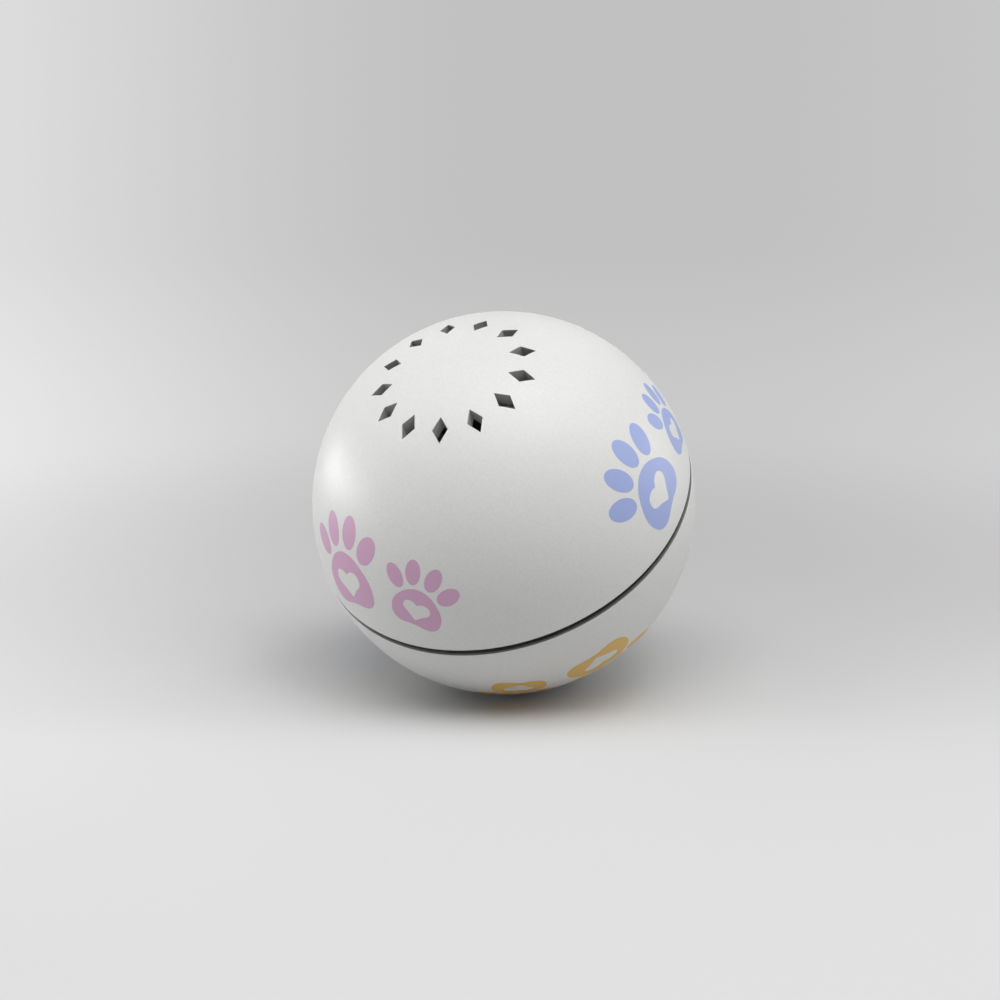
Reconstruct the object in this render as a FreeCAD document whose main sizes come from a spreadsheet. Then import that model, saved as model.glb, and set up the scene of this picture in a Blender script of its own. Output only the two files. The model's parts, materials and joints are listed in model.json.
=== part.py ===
import FreeCAD, Part
import math
import os
import sys

import Sketcher

# A self-rolling cat ball, in millimetres and degrees.
# Everything is drawn upright about the drive axle, which is the Z axis of each sub-part, with the ball's
# centre at the origin. Each sub-part's Placement then leans the axle over by axle_tilt towards -Y, which is
# how the ball lies at rest: the drive core's counterweight is on the -Y side of the axle and low down.

# Driving sizes
SIZES = {
    # ball and seam
    "ball_radius": 35.0,
    "shell_wall": 2.4,
    "axle_tilt": 36.6,
    "seam_gap": 0.9,
    "seam_height": 0.6,
    "rim_bevel": 0.3,
    # ring of diamond vents round the upper pole
    "vent_count": 13,
    "vent_ring_radius": 12.7,
    "vent_half_length": 2.23,
    "vent_half_width": 1.42,
    # spigot of the lower shell, and the quarter-turn lugs that hold the upper shell on it
    "spigot_inset": 3.1,
    "spigot_wall": 2.1,
    "spigot_height": 4.85,
    "spigot_skirt": 6.0,
    "spigot_gap": 0.3,
    "lug_count": 3,
    "lug_half_angle": 6.0,
    "lug_height": 1.8,
    "lug_reach": 0.8,
    "lug_play": 0.3,
    "lug_play_angle": 1.5,
    "lug_lift": 1.0,
    "lock_turn": 25.0,
    # lower hub, where the axle is keyed into the lower shell
    "boss_radius": 6.5,
    "boss_stand": 8.5,
    "rib_count": 6,
    "rib_thickness": 1.2,
    "rib_drop": 0.7,
    "key_flats": 7.0,
    "key_depth": 4.5,
    "key_end_gap": 0.6,
    "key_play": 0.05,
    # upper hub and the catnip chamber round it
    "hub_wall": 1.6,
    "hub_fit": 0.05,
    "hub_cap": 3.4,
    "hub_lift": 1.1,
    "hub_bush_lift": 0.2,
    "hub_bush_drop": 0.5,
    "chamber_inset": 4.25,
    "chamber_wall": 2.2,
    "lid_thickness": 1.5,
    "lid_recess": 0.3,
    "lid_gap": 0.3,
    "lid_tab_reach": 1.2,
    "lid_tab_height": 0.9,
    "lid_tab_half_angle": 5.0,
    "lid_turn": 22.0,
    "lid_hole_inset": 4.0,
    "lid_hole_radius": 1.1,
    "lid_hole_count": 13,
    "lid_grip_inner": 7.4,
    "lid_grip_outer": 10.4,
    # seal ring in the seam
    "seal_inner_gap": 0.45,
    "seal_recess": 0.65,
    # axle, with what is on it
    "axle_radius": 2.0,
    "axle_end_gap": 1.4,
    "axle_bevel": 0.5,
    "press_gap": 0.02,
    "bush_gap": 0.05,
    "bush_wall": 1.5,
    "foot_flange_radius": 5.2,
    "foot_flange": 1.2,
    "washer_thickness": 0.8,
    "bush_flange": 1.0,
    "bush_flange_radius": 4.9,
    "clip_thickness": 0.5,
    "clip_radius": 3.7,
    "clip_play": 0.1,
    "clip_groove": 0.4,
    # moulded frame of the drive core
    "core_gap": 1.8,
    "core_play": 2.0,
    "core_wall": 1.6,
    "core_floor": 1.6,
    "core_boss_wall": 2.45,
    "core_boss_height": 4.6,
    "deck_clearance": 0.8,
    "post_radius": 2.6,
    "post_inset": 1.8,
    "post_length": 17.0,
    "cradle_wall": 1.2,
    "cradle_width": 6.0,
    "cradle_depth": 12.0,
    # counterweight, on the heavy side of the core
    "weight_angle": 126.0,
    "weight_turn": 18.0,
    "weight_boss_gap": 0.9,
    "weight_height": 9.5,
    "weight_gap": 0.35,
    "weight_bevel": 0.8,
    "weight_screw_circle": 14.0,
    "weight_screw_angle": 38.0,
    # battery
    "battery_length": 30.0,
    "battery_thickness": 7.0,
    "battery_headroom": 3.1,
    "battery_wall_gap": 3.0,
    "battery_round": 1.4,
    "pad_thickness": 1.3,
    "pad_margin": 0.4,
    "guard_height": 1.0,
    "guard_end_margin": 3.0,
    "guard_side_margin": 1.5,
    "bay_gap": 0.3,
    "bay_wall": 1.4,
    # gear deck and bridge
    "deck_thickness": 1.6,
    "deck_overhang": 0.2,
    "bridge_lift": 1.1,
    "bridge_thickness": 1.6,
    "bridge_arm": 2.6,
    "bridge_hub_wall": 1.35,
    "bridge_post_radius": 2.7,
    "bridge_post_inset": 4.3,
    "bridge_post_gap": 1.06,
    "bridge_post_turn": 61.4,
    "bush_stand": 0.3,
    "pin_eye_radius": 2.0,
    "board_post_radius": 1.9,
    "deck_bore_gap": 1.0,
    "battery_slot_half": 1.2,
    "motor_slot_start": 0.6,
    "motor_slot_margin": 1.0,
    "motor_slot_reach": 1.9,
    # gear train, module 0.5
    "gear_module": 0.5,
    "tooth_thinning": 0.1,
    "mesh_gap": 0.05,
    "drive_teeth": 42,
    "wheel_2_teeth": 36,
    "pinion_2_teeth": 14,
    "wheel_1_teeth": 34,
    "pinion_1_teeth": 14,
    "motor_teeth": 12,
    "gear_2_angle": 48.0,
    "gear_1_angle": 173.4,
    "motor_angle": 211.2,
    "layer_lift": 0.9,
    "layer_step_1": 3.1,
    "layer_step_2": 3.0,
    "wheel_width": 2.2,
    "drive_width": 2.4,
    "layer_overlap": 0.3,
    "gear_play": 0.15,
    "drive_hub_radius": 3.9,
    "drive_hub_stand": 0.5,
    "gear_hub_radius": 1.7,
    "sleeve_radius": 1.5,
    "web_hole": 1.5,
    "web_share": 0.335,
    "pin_radius": 0.75,
    "pin_shoulder": 1.1,
    "pin_gap": 0.05,
    # motor
    "motor_radius": 6.0,
    "motor_flats": 10.0,
    "motor_length": 15.0,
    "motor_boss_radius": 2.0,
    "motor_boss": 1.0,
    "motor_cap": 2.0,
    "motor_cap_step": 0.3,
    "motor_nub": 0.8,
    "motor_bearing": 2.5,
    "motor_shaft_radius": 0.5,
    "motor_shaft_stand": 0.3,
    "motor_screw_spacing": 8.4,
    "motor_screw_length": 3.0,
    "terminal_width": 1.4,
    "terminal_thickness": 0.3,
    "terminal_depth": 1.5,
    "terminal_spacing": 4.4,
    "terminal_height": 1.4,
    # circuit board and what is on it
    "board_inset": 2.0,
    "board_post_inset": 1.6,
    "board_edge": 12.6,
    "board_thickness": 1.2,
    "board_lift": 2.4,
    "usb_width": 8.94,
    "usb_height": 3.2,
    "usb_depth": 7.3,
    "usb_shell": 0.3,
    "usb_corner": 1.2,
    "usb_overhang": 0.4,
    "usb_tongue_width": 6.2,
    "usb_tongue_thickness": 0.7,
    "usb_tongue_share": 0.7,
    "switch_width": 6.2,
    "switch_height": 3.0,
    "stem_radius": 1.6,
    "stem_gap": 0.1,
    "stem_entry": 0.3,
    "button_x": 12.0,
    "button_inset": 8.7,
    "button_radius": 2.6,
    "button_height": 3.0,
    "button_round": 0.6,
    "button_travel": 0.5,
    "sensor_x": 12.6,
    "sensor_inset": 5.1,
    "sensor_radius": 1.4,
    "sensor_height": 5.5,
    "sensor_round": 0.4,
    "connector_margin": 1.2,
    "connector_height": 3.0,
    "battery_plug_depth": 4.0,
    "motor_plug_depth": 3.6,
    "battery_plug_inset": 5.7,
    "motor_plug_y": 14.9,
    # fasteners and leads
    "screw_radius": 0.8,
    "screw_head_radius": 1.6,
    "screw_head": 1.0,
    "screw_length": 5.0,
    "screw_hole_gap": 0.1,
    "slot_depth_share": 0.4,
    "lead_radius": 0.45,
    "lead_spacing": 1.8,
    "battery_lead_x": 8.9,
    "battery_lead_y": 14.0,
    "battery_lead_bend": 15.7,
    "motor_lead_x": 15.4,
    "motor_lead_gap": 0.5,
    "notch_depth": 2.5,
}
PRESSURE_ANGLE = 20.0
ADDENDUM = 0.8
DEDENDUM = 1.1
# Where the repeated features start, in degrees round the axle
VENT_ANGLE = 6.6
LUG_ANGLE = 30.0
TAB_ANGLE = 90.0
LID_TABS = 3
TAB_PLAY = 0.2
# How far a feature reaches into the solid that it is joined to or cut from
BURY = 0.5
GRIP_ANGLES = (70, 110)
CLIP_ANGLE = 290
DECK_POST_ANGLES = (38, 118, 200, 340)
BRIDGE_POST_ANGLES = (351.5, 191.3)
BOARD_POST_ANGLES = (321.2, 218.8, 292.9)
# How much of an arch's span each of its two bevelled corners takes
ARCH_SHARE = 0.293

doc = FreeCAD.newDocument("cat_ball")
sheet = doc.addObject("Spreadsheet::Sheet", "sizes")
for row, (alias, number) in enumerate(SIZES.items(), start=1):
    sheet.set(f"A{row}", alias)
    sheet.set(f"B{row}", str(number))
    sheet.setAlias(f"B{row}", alias)
doc.recompute()


class Size:
    """A number from the sheet, or one worked out from such numbers, together with the expression for it."""

    def __init__(self, text, value):
        self.text = text
        self.value = value

    def joined(self, sign, other, value, swap=False):
        a, b = text_of(self), text_of(other)
        if swap:
            a, b = b, a
        return Size(f"({a} {sign} {b})", value)

    def __add__(self, other):
        return self.joined("+", other, self.value + value_of(other))

    def __radd__(self, other):
        return self.joined("+", other, self.value + value_of(other), swap=True)

    def __sub__(self, other):
        return self.joined("-", other, self.value - value_of(other))

    def __rsub__(self, other):
        return self.joined("-", other, value_of(other) - self.value, swap=True)

    def __mul__(self, other):
        return self.joined("*", other, self.value * value_of(other))

    def __rmul__(self, other):
        return self.joined("*", other, self.value * value_of(other), swap=True)

    def __truediv__(self, other):
        return self.joined("/", other, self.value / value_of(other))

    def __rtruediv__(self, other):
        return self.joined("/", other, value_of(other) / self.value, swap=True)

    def __neg__(self):
        return Size(f"(0 - {self.text})", -self.value)


def text_of(thing):
    return thing.text if isinstance(thing, Size) else repr(float(thing))


def value_of(thing):
    return thing.value if isinstance(thing, Size) else float(thing)


def size(alias):
    """The sheet's cell of that name."""
    return Size(f"sizes.{alias}", float(sheet.get(alias)))


def root(thing):
    return Size(f"sqrt({text_of(thing)})", math.sqrt(value_of(thing)))


def leg(hypotenuse, side):
    """The other side of a right-angled triangle: how far a sphere reaches at a given height."""
    return root(hypotenuse * hypotenuse - side * side)


def cosine(degrees):
    return Size(f"cos({text_of(degrees)})", math.cos(math.radians(value_of(degrees))))


def sine(degrees):
    return Size(f"sin({text_of(degrees)})", math.sin(math.radians(value_of(degrees))))


def bind(thing, path, amount):
    """Ties a property to the sheet where the amount comes from it, and else sets a plain number."""
    if isinstance(amount, Size):
        thing.setExpression(path, amount.text)
    else:
        thing.setExpression(path, repr(float(amount)))


# Sub-parts and their tilt

SUB_PARTS = []


def sub_part(thing, label):
    """Labels a finished sub-part and leans it over with the axle."""
    if thing.TypeId in ("Part::Box", "Part::Cylinder"):
        holder = doc.addObject("Part::Compound", label + "_holder")
        holder.Links = [thing]
        thing = holder
    thing.Label = label
    lean = FreeCAD.Rotation(FreeCAD.Vector(1, 0, 0), value_of(size("axle_tilt")))
    thing.Placement = FreeCAD.Placement(FreeCAD.Vector(), lean)
    if thing.TypeId != "Part::Feature":
        thing.setExpression("Placement.Rotation.Angle", "sizes.axle_tilt * 1 deg")
    SUB_PARTS.append(thing)
    return thing


def new_body(label):
    return sub_part(doc.addObject("PartDesign::Body", label + "_body"), label)


# Sketches

PLANES = {"top": "XY_Plane", "front": "XZ_Plane", "side": "YZ_Plane"}


def new_sketch(body, plane, height=None):
    """A sketch on a plane of the body: top looks along Z, front holds X and Z, side holds Y and Z."""
    sketch = body.newObject("Sketcher::SketchObject", "Sketch")
    origin_plane = next(f for f in body.Origin.OriginFeatures if f.Role == PLANES[plane])
    sketch.AttachmentSupport = (origin_plane, [""])
    sketch.MapMode = "FlatFace"
    if height is not None:
        base = FreeCAD.Vector(0, 0, value_of(height))
        sketch.AttachmentOffset = FreeCAD.Placement(base, FreeCAD.Rotation())
        bind(sketch, "AttachmentOffset.Base.z", height)
    return sketch


def constrain(sketch, amount, *what):
    """Adds a dimension and ties it to its expression."""
    index = sketch.addConstraint(Sketcher.Constraint(*what, value_of(amount)))
    if isinstance(amount, Size):
        sketch.setExpression(f"Constraints[{index}]", amount.text)


def pin_point(sketch, geometry, end, x, y):
    constrain(sketch, x, "DistanceX", -1, 1, geometry, end)
    constrain(sketch, y, "DistanceY", -1, 1, geometry, end)


def outline(sketch, corners):
    """A closed outline of corners (x, y), or (x, y, radius, centre_x, centre_y) where an arc follows."""
    spots = [FreeCAD.Vector(value_of(c[0]), value_of(c[1]), 0) for c in corners]
    ends = []
    for k, corner in enumerate(corners):
        start, stop = spots[k], spots[(k + 1) % len(spots)]
        if len(corner) == 2:
            edge = Part.LineSegment(start, stop)
        else:
            radius = value_of(corner[2])
            centre = FreeCAD.Vector(value_of(corner[3]), value_of(corner[4]), 0)
            middle = centre + ((start + stop) * 0.5 - centre).normalize() * radius
            edge = Part.Arc(start, middle, stop)
        geometry = sketch.addGeometry(edge)
        at_start = (sketch.getPoint(geometry, 1) - start).Length < 1e-6
        ends.append((geometry, 1, 2) if at_start else (geometry, 2, 1))
    for k, (geometry, first, last) in enumerate(ends):
        following = ends[(k + 1) % len(ends)]
        sketch.addConstraint(Sketcher.Constraint("Coincident", geometry, last, following[0], following[1]))
        pin_point(sketch, geometry, first, corners[k][0], corners[k][1])
        if len(corners[k]) > 2:
            constrain(sketch, corners[k][2], "Radius", geometry)
    return sketch


def circle(sketch, x, y, radius):
    centre = FreeCAD.Vector(value_of(x), value_of(y), 0)
    geometry = sketch.addGeometry(Part.Circle(centre, FreeCAD.Vector(0, 0, 1), value_of(radius)))
    pin_point(sketch, geometry, 3, x, y)
    constrain(sketch, radius, "Radius", geometry)
    return sketch


def rectangle(sketch, low_x, low_y, high_x, high_y):
    return outline(sketch, [(low_x, low_y), (high_x, low_y), (high_x, high_y), (low_x, high_y)])


def sector(sketch, inner, outer, start, stop):
    """Part of a ring about the origin, from one angle to another."""
    return outline(
        sketch,
        [
            (outer * cosine(start), outer * sine(start), outer, 0, 0),
            (outer * cosine(stop), outer * sine(stop)),
            (inner * cosine(stop), inner * sine(stop), inner, 0, 0),
            (inner * cosine(start), inner * sine(start)),
        ],
    )


def hexagon(sketch, flats):
    corner = flats / root(Size("3", 3.0))
    points = [(corner * cosine(60.0 * k), corner * sine(60.0 * k)) for k in range(6)]
    return outline(sketch, points)


def bar(sketch, start, stop, width):
    """A straight bar of that width from one point to another."""
    dx, dy = stop[0] - start[0], stop[1] - start[1]
    share = width * 0.5 / root(dx * dx + dy * dy)
    nx, ny = dy * share, dx * share
    return outline(
        sketch,
        [
            (start[0] + nx, start[1] - ny),
            (stop[0] + nx, stop[1] - ny),
            (stop[0] - nx, stop[1] + ny),
            (start[0] - nx, start[1] + ny),
        ],
    )


# Features

def pad(body, sketch, length, middle=False):
    feature = body.newObject("PartDesign::Pad", "Pad")
    feature.Profile = sketch
    bind(feature, "Length", length)
    feature.Midplane = middle
    return feature


def pocket(body, sketch, depth):
    """Cuts down from the sketch, against its normal."""
    feature = body.newObject("PartDesign::Pocket", "Pocket")
    feature.Profile = sketch
    bind(feature, "Length", depth)
    return feature


def revolve(body, sketch, angle=360.0, middle=False):
    feature = body.newObject("PartDesign::Revolution", "Revolution")
    feature.Profile = sketch
    feature.ReferenceAxis = (sketch, ["V_Axis"])
    bind(feature, "Angle", angle)
    feature.Midplane = middle
    return feature


def ring_of(body, features, sketch, count):
    """Repeats features evenly round the axle."""
    pattern = body.newObject("PartDesign::PolarPattern", "PolarPattern")
    pattern.Originals = features
    pattern.Axis = (sketch, ["N_Axis"])
    pattern.Angle = 360
    bind(pattern, "Occurrences", count)
    body.Tip = pattern
    return pattern


def turned(label, corners):
    """A sub-part turned about the axle, from its half profile of (radius, height) corners."""
    body = new_body(label)
    revolve(body, outline(new_sketch(body, "front"), corners))
    return body


# Plain solids, for small pieces put together from cylinders and boxes

def cylinder(radius, length, x, y, z):
    solid = doc.addObject("Part::Cylinder", "Cylinder")
    bind(solid, "Radius", radius)
    bind(solid, "Height", length)
    for axis, amount in (("x", x), ("y", y), ("z", z)):
        bind(solid, f"Placement.Base.{axis}", amount)
    return solid


def block(length, width, height, x, y, z):
    """A box centred on x and y and standing on z."""
    solid = doc.addObject("Part::Box", "Box")
    bind(solid, "Length", length)
    bind(solid, "Width", width)
    bind(solid, "Height", height)
    bind(solid, "Placement.Base.x", x - length * 0.5)
    bind(solid, "Placement.Base.y", y - width * 0.5)
    bind(solid, "Placement.Base.z", z)
    return solid


def joined(solids):
    fuse = doc.addObject("Part::MultiFuse", "Fuse")
    fuse.Shapes = solids
    return fuse


def drilled(base, tool):
    cut = doc.addObject("Part::Cut", "Cut")
    cut.Base = base
    cut.Tool = tool
    return cut


def rounded(base, radius, choose):
    """Rounds the edges that choose picks by their middle point and direction."""
    doc.recompute()
    edges = [
        (k, value_of(radius), value_of(radius))
        for k, edge in enumerate(base.Shape.Edges, start=1)
        if choose(edge)
    ]
    fillet = doc.addObject("Part::Fillet", "Fillet")
    fillet.Base = base
    fillet.Edges = edges
    return fillet


def group(label, solids):
    """Separate solids that share a node."""
    compound = doc.addObject("Part::Compound", label + "_group")
    compound.Links = solids
    return sub_part(compound, label)


# Places worked out from the sizes

ball_radius = size("ball_radius")
shell_inside = ball_radius - size("shell_wall")
seam_bottom = size("seam_height") - size("seam_gap") * 0.5
seam_top = size("seam_height") + size("seam_gap") * 0.5
spigot_radius = ball_radius - size("spigot_inset")
spigot_inside = spigot_radius - size("spigot_wall")
spigot_top = seam_bottom + size("spigot_height")
band_radius = spigot_radius + size("spigot_gap")

lug_low = seam_top + size("lug_lift")
lug_high = lug_low + size("lug_height")
lug_inner = spigot_radius - size("lug_reach")
channel_low = lug_low - size("lug_play")
channel_high = lug_high + size("lug_play")
channel_inner = lug_inner - size("lug_play")

boss_top = size("boss_stand") - ball_radius
axle_radius = size("axle_radius")
bush_inner = axle_radius + size("bush_gap")
bush_outer = bush_inner + size("bush_wall")
press_bore = axle_radius + size("press_gap")
flange_top = boss_top + size("foot_flange")
washer_top = flange_top + size("washer_thickness")
core_bottom = washer_top + size("bush_flange")
floor_top = core_bottom + size("core_floor")
core_rim = spigot_top
core_radius = spigot_inside - size("core_gap")
core_inside = core_radius - size("core_wall")
core_sphere = shell_inside - size("core_play")
core_sphere_inside = core_sphere - size("core_wall")
deck_top = core_rim + size("deck_thickness")
layer_1 = deck_top + size("layer_lift")
layer_2 = layer_1 + size("layer_step_1")
layer_3 = layer_2 + size("layer_step_2")
bridge_low = layer_3 + size("wheel_width") + size("bridge_lift")
bridge_top = bridge_low + size("bridge_thickness")
board_low = deck_top + size("board_lift")
board_top = board_low + size("board_thickness")

weight_top = floor_top + size("weight_height")
battery_low = weight_top + size("pad_thickness")
battery_top = core_rim - size("battery_headroom")
battery_height = battery_top - battery_low
battery_reach = core_inside - size("battery_wall_gap")
battery_y = leg(battery_reach, size("battery_length") * 0.5) - size("battery_thickness") * 0.5

bush_top = bridge_top + size("bush_stand")
clip_low = bush_top + size("clip_play")
clip_high = clip_low + size("clip_thickness")
hub_bore = bush_outer + size("hub_fit")
hub_radius = hub_bore + size("hub_wall")
chamber_foot = clip_high + size("hub_lift")
hub_end = leg(shell_inside, hub_bore) - size("hub_cap")
chamber_outer = leg(shell_inside, chamber_foot) - size("chamber_inset")
chamber_radius = chamber_outer - size("chamber_wall")
lid_low = chamber_foot + size("lid_recess")
lid_top = lid_low + size("lid_thickness")
tab_low = lid_top - size("lid_tab_height")

module = size("gear_module")
mesh_gap = size("mesh_gap")
drive_to_2 = module * (size("drive_teeth") + size("pinion_2_teeth")) * 0.5 + mesh_gap
two_to_1 = module * (size("wheel_2_teeth") + size("pinion_1_teeth")) * 0.5 + mesh_gap
one_to_motor = module * (size("wheel_1_teeth") + size("motor_teeth")) * 0.5 + mesh_gap
gear_2_spot = (drive_to_2 * cosine(size("gear_2_angle")), drive_to_2 * sine(size("gear_2_angle")))
gear_1_spot = (
    gear_2_spot[0] + two_to_1 * cosine(size("gear_1_angle")),
    gear_2_spot[1] + two_to_1 * sine(size("gear_1_angle")),
)
motor_spot = (
    gear_1_spot[0] + one_to_motor * cosine(size("motor_angle")),
    gear_1_spot[1] + one_to_motor * sine(size("motor_angle")),
)
CENTRE = (Size("0", 0.0), Size("0", 0.0))


def round_axle(radius, *angles):
    """Spots on a circle about the axle."""
    return [(radius * cosine(angle), radius * sine(angle)) for angle in angles]


post_circle = core_inside - size("post_inset")
deck_posts = round_axle(post_circle, *DECK_POST_ANGLES)
bridge_posts = round_axle(post_circle - size("bridge_post_inset"), *BRIDGE_POST_ANGLES)
wheel_1_tip = module * (size("wheel_1_teeth") * 0.5 + ADDENDUM)
last_post = wheel_1_tip + size("bridge_post_radius") + size("bridge_post_gap")
bridge_posts.append(
    (
        gear_1_spot[0] + last_post * cosine(size("bridge_post_turn")),
        gear_1_spot[1] + last_post * sine(size("bridge_post_turn")),
    )
)
board_radius = core_radius - size("board_inset")
board_posts = round_axle(board_radius - size("board_post_inset"), *BOARD_POST_ANGLES)
button_y = size("button_inset") - board_radius
sensor_y = size("sensor_inset") - board_radius
weight_middle = size("weight_turn") - 90.0
weight_screw_spots = round_axle(
    size("weight_screw_circle"),
    weight_middle - size("weight_screw_angle"),
    weight_middle + size("weight_screw_angle"),
)
motor_screw_spots = [
    (motor_spot[0], motor_spot[1] + size("motor_screw_spacing") * 0.5),
    (motor_spot[0], motor_spot[1] - size("motor_screw_spacing") * 0.5),
]
screw_hole = size("screw_radius") + size("screw_hole_gap")

lid_radius = chamber_radius - size("lid_gap")
core_boss_radius = bush_outer + size("core_boss_wall")
core_boss_top = floor_top + size("core_boss_height")
weight_inner = core_boss_radius + size("weight_boss_gap")
axle_top = hub_end - size("axle_end_gap")
key_bottom = boss_top - size("key_depth") + size("key_end_gap")
pinion_top = layer_3 + size("wheel_width") + size("layer_overlap")
switch_top = board_top + size("switch_height")
button_foot = switch_top - size("stem_entry")
usb_mouth = -board_radius - size("usb_overhang")

motor_foot = core_rim - size("motor_length") - size("motor_cap")
terminal_high = motor_foot + size("terminal_height")
terminal_rows = [
    motor_spot[1] - size("terminal_spacing") * 0.5,
    motor_spot[1] + size("terminal_spacing") * 0.5,
]
lead_column = motor_spot[0] - size("motor_radius") - size("motor_lead_gap") - size("lead_radius")
motor_slot = (
    lead_column - size("motor_slot_margin"),
    size("motor_slot_start"),
    lead_column + size("motor_slot_reach"),
    terminal_rows[1] + size("motor_slot_margin"),
)
motor_lead_x = (-size("motor_lead_x"), -size("motor_lead_x") + size("lead_spacing"))
motor_plug_face = -size("motor_plug_y")
lead_1_x = -size("battery_lead_x")
lead_2_x = lead_1_x + size("lead_spacing")
lead_rise_y = size("battery_lead_y")
lead_bend = size("battery_lead_bend")
battery_plug_y = size("battery_plug_inset") - board_radius
arch_step = (-battery_plug_y - lead_rise_y) * ARCH_SHARE
notch_front = size("board_edge")
notch_depth = size("notch_depth")


# Shells

def lower_shell():
    body = new_body("lower_shell")
    bevel = size("rim_bevel")
    rim_corner = seam_bottom - bevel
    skirt_low = seam_bottom - size("spigot_skirt")
    skirt_foot = skirt_low - size("spigot_wall")
    boss_radius = size("boss_radius")
    profile = new_sketch(body, "front")
    outline(
        profile,
        [
            (0, -ball_radius, ball_radius, 0, 0),
            (leg(ball_radius, rim_corner), rim_corner),
            (leg(ball_radius, rim_corner) - bevel, seam_bottom),
            (spigot_radius, seam_bottom),
            (spigot_radius, spigot_top - bevel),
            (spigot_radius - bevel, spigot_top),
            (spigot_inside, spigot_top),
            (spigot_inside, skirt_low),
            (leg(shell_inside, skirt_foot), skirt_foot, shell_inside, 0, 0),
            (boss_radius, -leg(shell_inside, boss_radius)),
            (boss_radius, boss_top),
            (0, boss_top),
        ],
    )
    revolve(body, profile)

    key = new_sketch(body, "top", boss_top)
    hexagon(key, size("key_flats"))
    pocket(body, key, size("key_depth"))

    rib_top = boss_top - size("rib_drop")
    bury = shell_inside + BURY
    rib_start = boss_radius - BURY
    rib = new_sketch(body, "front")
    outline(
        rib,
        [
            (rib_start, -leg(bury, rib_start), bury, 0, 0),
            (leg(bury, rib_top), rib_top),
            (rib_start, rib_top),
        ],
    )
    ribs = pad(body, rib, size("rib_thickness"), middle=True)
    ring_of(body, [ribs], key, size("rib_count"))

    half = size("lug_half_angle") + size("lug_play_angle")
    entry = new_sketch(body, "top", spigot_top)
    sector(entry, channel_inner, spigot_radius + BURY, LUG_ANGLE - half, LUG_ANGLE + half)
    entries = pocket(body, entry, spigot_top - channel_low)
    ring_of(body, [entries], entry, size("lug_count"))
    run = new_sketch(body, "top", channel_high)
    sector(run, channel_inner, spigot_radius + BURY, LUG_ANGLE - half, LUG_ANGLE + size("lock_turn") + half)
    runs = pocket(body, run, channel_high - channel_low)
    ring_of(body, [runs], run, size("lug_count"))


def upper_shell():
    body = new_body("upper_shell")
    bevel = size("rim_bevel")
    rim_corner = seam_top + bevel
    profile = new_sketch(body, "front")
    outline(
        profile,
        [
            (leg(ball_radius, rim_corner), rim_corner, ball_radius, 0, 0),
            (0, ball_radius),
            (0, shell_inside, shell_inside, 0, 0),
            (band_radius, leg(shell_inside, band_radius)),
            (band_radius, seam_top),
            (leg(ball_radius, rim_corner) - bevel, seam_top),
        ],
    )
    revolve(body, profile)

    ring, length, width = size("vent_ring_radius"), size("vent_half_length"), size("vent_half_width")
    across, along = cosine(VENT_ANGLE), sine(VENT_ANGLE)
    vent_floor = leg(shell_inside, ring + length) - BURY
    vent = new_sketch(body, "top", ball_radius)
    outline(
        vent,
        [
            ((ring - length) * across, (ring - length) * along),
            (ring * across + width * along, ring * along - width * across),
            ((ring + length) * across, (ring + length) * along),
            (ring * across - width * along, ring * along + width * across),
        ],
    )
    vents = pocket(body, vent, ball_radius - vent_floor)
    ring_of(body, [vents], vent, size("vent_count"))

    half = size("lug_half_angle")
    lug = new_sketch(body, "top", lug_low)
    sector(lug, lug_inner, band_radius + BURY, LUG_ANGLE - half, LUG_ANGLE + half)
    lugs = pad(body, lug, size("lug_height"))
    ring_of(body, [lugs], lug, size("lug_count"))


def upper_hub():
    """The socket of the axle's top end, welded under the pole of the dome."""
    body = new_body("upper_hub")
    profile = new_sketch(body, "front")
    outline(
        profile,
        [
            (0, shell_inside, shell_inside, 0, 0),
            (hub_radius, leg(shell_inside, hub_radius)),
            (hub_radius, chamber_foot),
            (0, chamber_foot),
        ],
    )
    revolve(body, profile)
    bore = new_sketch(body, "top", hub_end)
    circle(bore, 0, 0, hub_bore)
    pocket(body, bore, hub_end - chamber_foot)


def chamber_wall():
    """The wall of the catnip chamber, welded under the dome, with grooves that the lid's tabs turn into."""
    body = new_body("chamber_wall")
    profile = new_sketch(body, "front")
    outline(
        profile,
        [
            (chamber_radius, leg(shell_inside, chamber_radius), shell_inside, 0, 0),
            (chamber_outer, leg(shell_inside, chamber_outer)),
            (chamber_outer, chamber_foot),
            (chamber_radius, chamber_foot),
        ],
    )
    revolve(body, profile)

    half = size("lid_tab_half_angle") + size("lug_play_angle")
    groove = lid_radius + size("lid_tab_reach") + size("lid_gap")
    start = chamber_radius - BURY
    entry = new_sketch(body, "top", lid_top + size("lid_gap"))
    sector(entry, start, groove, TAB_ANGLE + size("lid_turn") - half, TAB_ANGLE + size("lid_turn") + half)
    entries = pocket(body, entry, lid_top + size("lid_gap") - chamber_foot)
    ring_of(body, [entries], entry, LID_TABS)
    run = new_sketch(body, "top", lid_top + size("lid_gap"))
    sector(run, start, groove, TAB_ANGLE - half, TAB_ANGLE + size("lid_turn") + half)
    runs = pocket(body, run, lid_top + size("lid_gap") - (tab_low - TAB_PLAY))
    ring_of(body, [runs], run, LID_TABS)


def seal_ring():
    inner = spigot_radius + size("seal_inner_gap")
    outer = ball_radius - size("seal_recess")
    turned("seal_ring", [(inner, seam_bottom), (outer, seam_bottom), (outer, seam_top), (inner, seam_top)])


def upper_bush():
    low = chamber_foot + size("hub_bush_lift")
    high = hub_end - size("hub_bush_drop")
    turned("upper_bush", [(bush_inner, low), (bush_outer, low), (bush_outer, high), (bush_inner, high)])


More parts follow.
